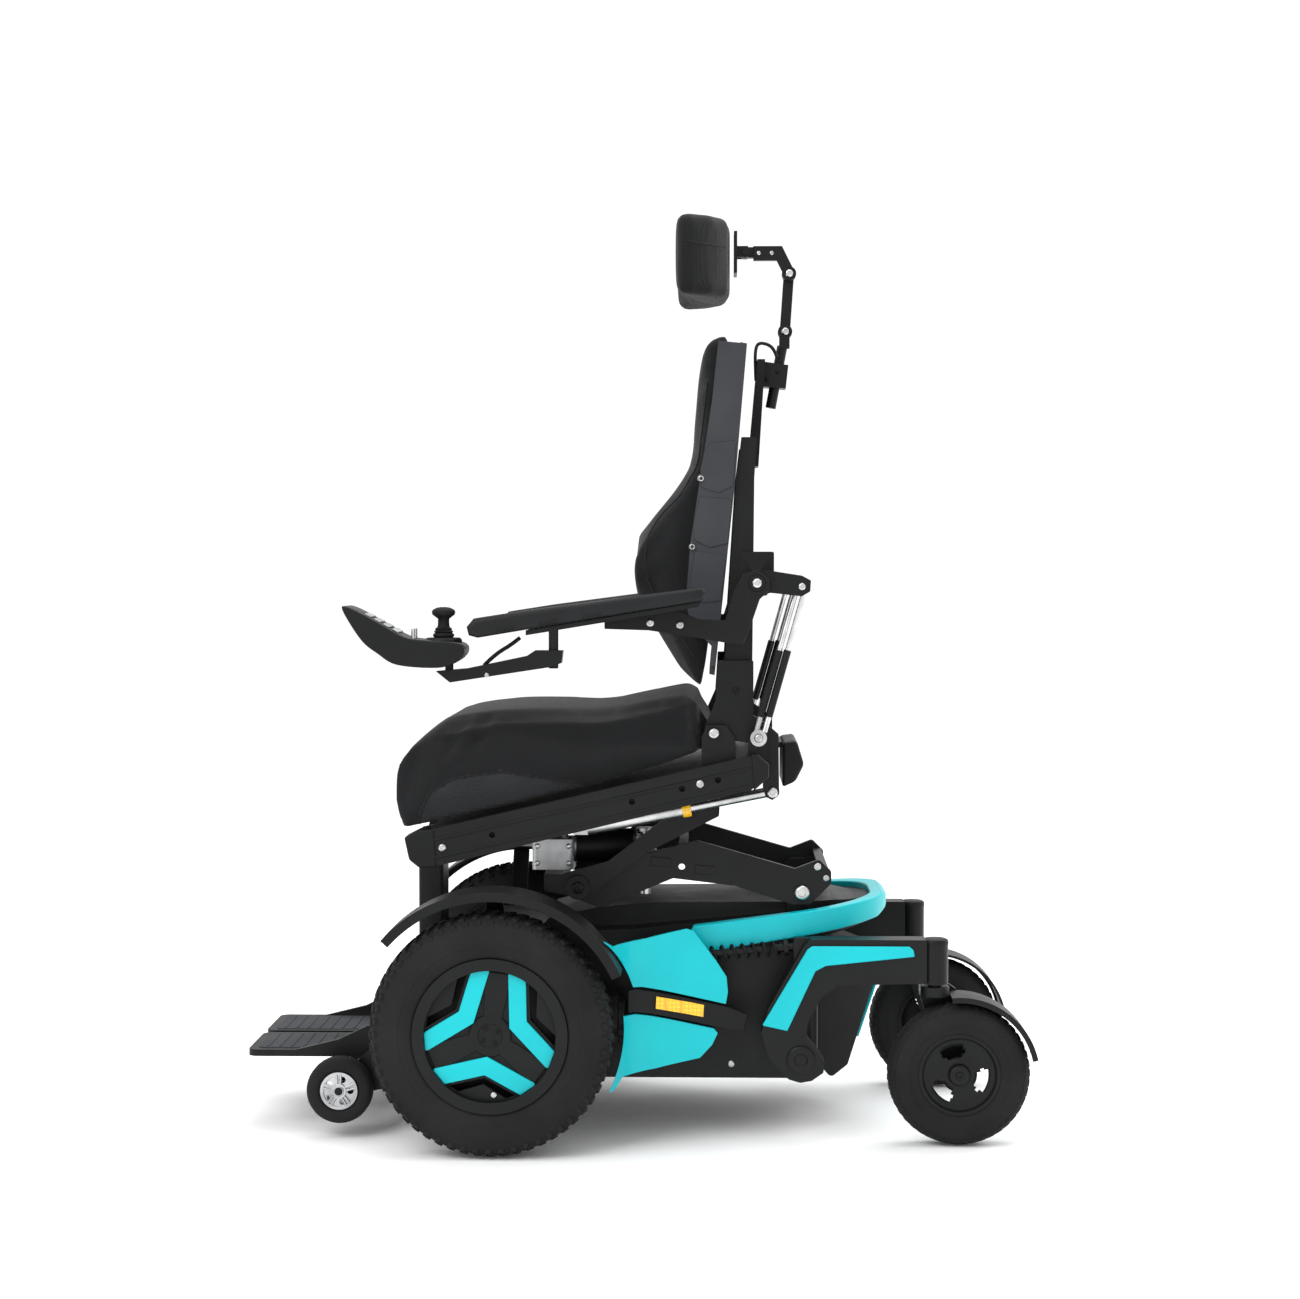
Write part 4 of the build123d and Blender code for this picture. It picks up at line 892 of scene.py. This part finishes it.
def makeHeadPad():
    bm = bmesh.new()
    outline = headPad["plan"] + [(x, -y) for x, y in reversed(headPad["plan"][1:-1])]
    verts = [bm.verts.new((x, y, headPad["low"] + 6)) for x, y in outline]
    face = bm.faces.new(verts)
    grown = bmesh.ops.extrude_face_region(bm, geom=[face])
    tops = [g for g in grown["geom"] if isinstance(g, bmesh.types.BMVert)]
    bmesh.ops.translate(bm, vec=(0, 0, headPad["high"] - headPad["low"] - 12), verts=tops)
    bmesh.ops.recalc_face_normals(bm, faces=bm.faces)
    rim = [e for e in bm.edges if abs(e.verts[0].co.z - e.verts[1].co.z) < 1]
    bmesh.ops.bevel(bm, geom=rim, offset=15, offset_type="OFFSET", segments=5, profile=0.5,
                    affect="EDGES", material=-1, clamp_overlap=True)
    pad = newPiece("headrestCushion", bm, "stretchKnit", "headrest_pad")
    applyPuff(pad, headPad["voxel"], headPad["pressure"], headPad["cap"], lambda co: co.x > 0.136)
    for piece in cadPieces("headrest_pad", "powderCoat", 0.8,
                           choose=lambda low, high: "powderCoat" if high.y - low.y < 90 else None):
        piece.name = "headrestPlate"
    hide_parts("headrest_pad")
    for side, name in ((-1, "headDart"), (1, "headDartRight")):
        seamOn(pad, name, densify(headPad["dart"], 3), side, "headrest_pad", 1.2, 20)
    print("headrest ready")


makeSeatPad()
makeBackPad()
makeHeadPad()


def makeBack():
    cadPieces("back_frame", "powderCoat", 1.2)
    cadPieces("back_shell", "mouldedGrey", 2.0, segments=3)
    for piece in cadPieces("recline_rod", "zincSteel", 0.6):
        piece.data.name = "reclineRod"
    cadPieces("recline_tube", "zincSteel", 0.8)
    for side, label in sides:
        boltRow(f"shellBolts_{label}", [(99, side * 201, 979, 5.5), (86, side * 201, 879, 5.5)], "back")
        # overlapping embossed panels on the shell's side
        for name, outline, lift in (
            ("upper", [(112, 1030), (150, 1034), (146, 968), (124, 958), (100, 966), (98, 992),
                       (104, 1016)], 2.2),
            ("middle", [(98, 952), (144, 948), (138, 884), (112, 878), (90, 888), (88, 910)], 2.6),
            ("lower", [(90, 872), (136, 866), (128, 800), (88, 796), (84, 830)], 2.2),
        ):
            bm = bmesh.new()
            addPlate(bm, outline, side * 200.5, side * (201 + lift))
            newPiece(f"shellPanel_{name}_{label}", bm, "mouldedGrey", "back", bevel=2.6, segments=3)
        boltRow(f"postBolts_{label}", [(150, side * 202, 668, 5)], "back", "mouldedBlack")
    # amber collar at the mouth of the recline tube
    bm = bmesh.new()
    start = Vector((71, -178, 518 + 0.2 * (71 - 204)))
    run = Vector((12.5, 0, 2.5))
    addTube(bm, start, start + run, 13.2, 32)
    newPiece("reclineCollar", bm, "amberLens", "recline_tube", bevel=0.8)
    boltRow("reclinePinBolt", [(204, -202, 518, 8)], "back")


def makeHeadrestParts():
    for node in ("headrest_bar", "headrest_link", "headrest_arm"):
        cadPieces(node, "powderCoat", 1.0, segments=3)
    boltRow("headrestBolts", [(233, -12, 1301, 6)], "headrest_arm")
    boltRow("kneeBolt", [(227, -12, 1212, 6)], "headrest_bar")
    boltRow("armSmallBolts", [(186, -12, 1332, 3.4), (206, -12, 1332, 3.4)], "headrest_arm")
    boltRow("clampBolts", [(200, -18, 1138, 4), (216, -18, 1150, 4)], "back", "mouldedBlack")
    # bent stop rod beside the clamp
    curvePiece("clampHook", [(182, -20, 1136), (181, -20, 1160), (181, -20, 1184), (186, -20, 1194),
                             (200, -20, 1192), (210, -20, 1184), (214, -20, 1172)], 2.6, "back", "powderCoat")


makeBack()
makeHeadrestParts()
print("back ready")


armPad = {"side": [(-234, 764), (-224, 776), (-150, 787.6), (101, 820.6), (106, 814), (102, 801.4),
                   (-150, 760), (-218, 748.6), (-231, 752)], "inner": 251, "outer": 321}


def makeArmrests():
    for side, label in sides:
        bm = bmesh.new()
        addPlate(bm, armPad["side"], side * armPad["inner"], side * armPad["outer"])
        rim = [e for e in bm.edges if abs(e.verts[0].co.y - e.verts[1].co.y) < 1]
        bmesh.ops.bevel(bm, geom=rim, offset=8, offset_type="OFFSET", segments=5, profile=0.5,
                        affect="EDGES", material=-1, clamp_overlap=True)
        pad = newPiece(f"armPad_{label}", bm, "padSkin", f"armrest_{label}", smoothAngle=60)
        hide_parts(f"armrest_pad_{label}")
        # darker plates on the pad's flank: painted shade standing for the inside of the slots
        for x, z in ((-178, 763), (-117, 772), (-55, 781)):
            bm = bmesh.new()
            addPlate(bm, [(x - 13, z - 6), (x + 12, z - 2), (x + 12, z + 4), (x - 13, z)],
                     side * 316, side * 321.8)
            newPiece(f"slotShade_{label}_{abs(x)}", bm, "mouldedBlack", f"armrest_{label}",
                     bevel=1.5, segments=3)
        cadPieces(f"armrest_frame_{label}", "powderCoat", 1.2)
        cadPieces(f"arm_lever_{label}", "powderCoat", 1.4)
        cadPieces(f"arm_strut_{label}", "zincSteel", 0.6)
        boltRow(f"armBolts_{label}", [(26, side * 263, 769, 6), (69, side * 263, 766, 6)], f"armrest_{label}")
        boltRow(f"armPivotBolt_{label}", [(180, side * 264, 826, 7)], f"arm_lever_{label}")
        boltRow(f"leverEndBolt_{label}", [(245, side * 251, 821, 5.5)], f"arm_lever_{label}")
        # black sleeves on the strut's lower half
        for across in (-6, 6):
            top, foot = Vector((245, side * 236.5, 821)), Vector((183, side * 236.5, 601))
            bm = bmesh.new()
            shift = Vector((across, 0, 0))
            addTube(bm, top.lerp(foot, 0.42) + shift, top.lerp(foot, 0.86) + shift, 5.6, 20)
            newPiece(f"strutSleeve_{label}_{across + 6}", bm, "mouldedBlack", f"arm_strut_{label}", bevel=0.8)


makeArmrests()
print("armrests ready")


joystickShape = {
    "side": [(-410, 788), (-401, 792), (-362, 772), (-322, 750), (-289, 745), (-245, 741), (-237, 728),
             (-250, 714), (-275, 706), (-332, 710), (-360, 726), (-384, 746)],
    "inner": 247, "outer": 325,
}


def makeJoystick():
    bm = bmesh.new()
    addPlate(bm, rounded(joystickShape["side"], 5), -joystickShape["outer"], -joystickShape["inner"])
    rim = [e for e in bm.edges if abs(e.verts[0].co.y - e.verts[1].co.y) < 1]
    bmesh.ops.bevel(bm, geom=rim, offset=9, offset_type="OFFSET", segments=5, profile=0.5,
                    affect="EDGES", material=-1, clamp_overlap=True)
    housing = newPiece("joystickShell", bm, "mouldedBlack", "joystick", smoothAngle=60)
    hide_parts("joystick_housing")
    cadPieces("swing_arm", "powderCoat", 2.0, segments=3)
    cadPieces("joystick_gimbal", "softRubber", 0)
    for name in ("toggle_inner", "toggle_outer"):
        cadPieces(name, "zincSteel", 0.8)
    # stick: bellows, stem and mushroom knob
    bm = bmesh.new()
    profile = [(0, 0), (0, 6), (14, 15.5), (16, 15), (18, 12.5), (20, 14), (22, 11.5), (24, 12.5), (26, 9.5),
               (28, 8.4), (38, 8), (41, 12), (44, 16), (48, 17), (51, 15.6), (54, 10), (55, 4), (55, 0)]
    addTurned(bm, profile, (-270, -285, 737), (0, 0, 1), 40)
    stick = newPiece("stickKnob", bm, "softRubber", "stick", smoothAngle=60)
    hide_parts("joystick_stick")
    bm = bmesh.new()
    collar = [(740, 27), (745, 26.4), (748, 24), (747.4, 21.2), (742, 20.6)]
    addTurned(bm, collar, (-270, -285, 0), (0, 0, 1), 40)
    newPiece("stickCollar", bm, "mouldedBlack", "joystick", smoothAngle=50)
    # tilted key field with pale keys, on the rising front of the housing
    run = Vector((-80, 0, 44)).normalized()
    up = Vector((44, 0, 80)).normalized()
    base = Vector((-326, -286, 751.5))
    turn = Vector((0, 0, 1)).rotation_difference(up).to_matrix().to_4x4()
    bm = bmesh.new()
    for row in range(4):
        for column in range(3):
            middle = base + run * (12 + row * 15) + Vector((0, (column - 1) * 19, 0)) + up * 1.4
            shape = Matrix.Translation(middle) @ turn @ Matrix.Diagonal((10, 14, 2.6, 1))
            bmesh.ops.create_cube(bm, size=1, matrix=shape)
    newPiece("joystickKeys", bm, "castAluminium", "joystick", bevel=0.8, segments=2)
    route = [(-212, -285, 708), (-202, -285, 718), (-188, -285, 729), (-174, -285, 737), (-160, -285, 748)]
    lead = curvePiece("joystickLead", route, 3.0, "swing_arm", "softRubber")
    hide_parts("joystick_cable")
    boltRow("swingBolt", [(-207, -297, 695, 3.4)], "swing_arm")


makeJoystick()
print("joystick ready")


def makeLegrest():
    cadPieces("legrest_column", "powderCoat", 2.0, segments=3)
    cadPieces("legrest_slider", "powderCoat", 1.4)
    for side, label in sides:
        cadPieces(f"footplate_{label}", "mouldedBlack", 2.4, segments=3)
        # anti-slip ribs on the tread
        bm = bmesh.new()
        for i in range(9):
            x = -560 + i * 18
            addPlate(bm, [(x, 122.4), (x + 5, 122.4), (x + 4, 124), (x + 1, 124)], side * 24, side * 120)
        newPiece(f"treadRibs_{label}", bm, "treadGrey", f"footplate_{label}", bevel=0.5)
        bm = bmesh.new()
        addPlate(bm, [(-572, 121.5), (-572, 123), (-402, 123), (-402, 121.5)], side * 18, side * 128)
        corners = [e for e in bm.edges if abs(e.verts[0].co.z - e.verts[1].co.z) > 1]
        bmesh.ops.bevel(bm, geom=corners, offset=10, offset_type="OFFSET", segments=5, profile=0.5,
                        affect="EDGES", material=-1, clamp_overlap=True)
        newPiece(f"tread_{label}", bm, "treadGrey", f"footplate_{label}", bevel=0.4)


makeLegrest()
print("legrest ready")
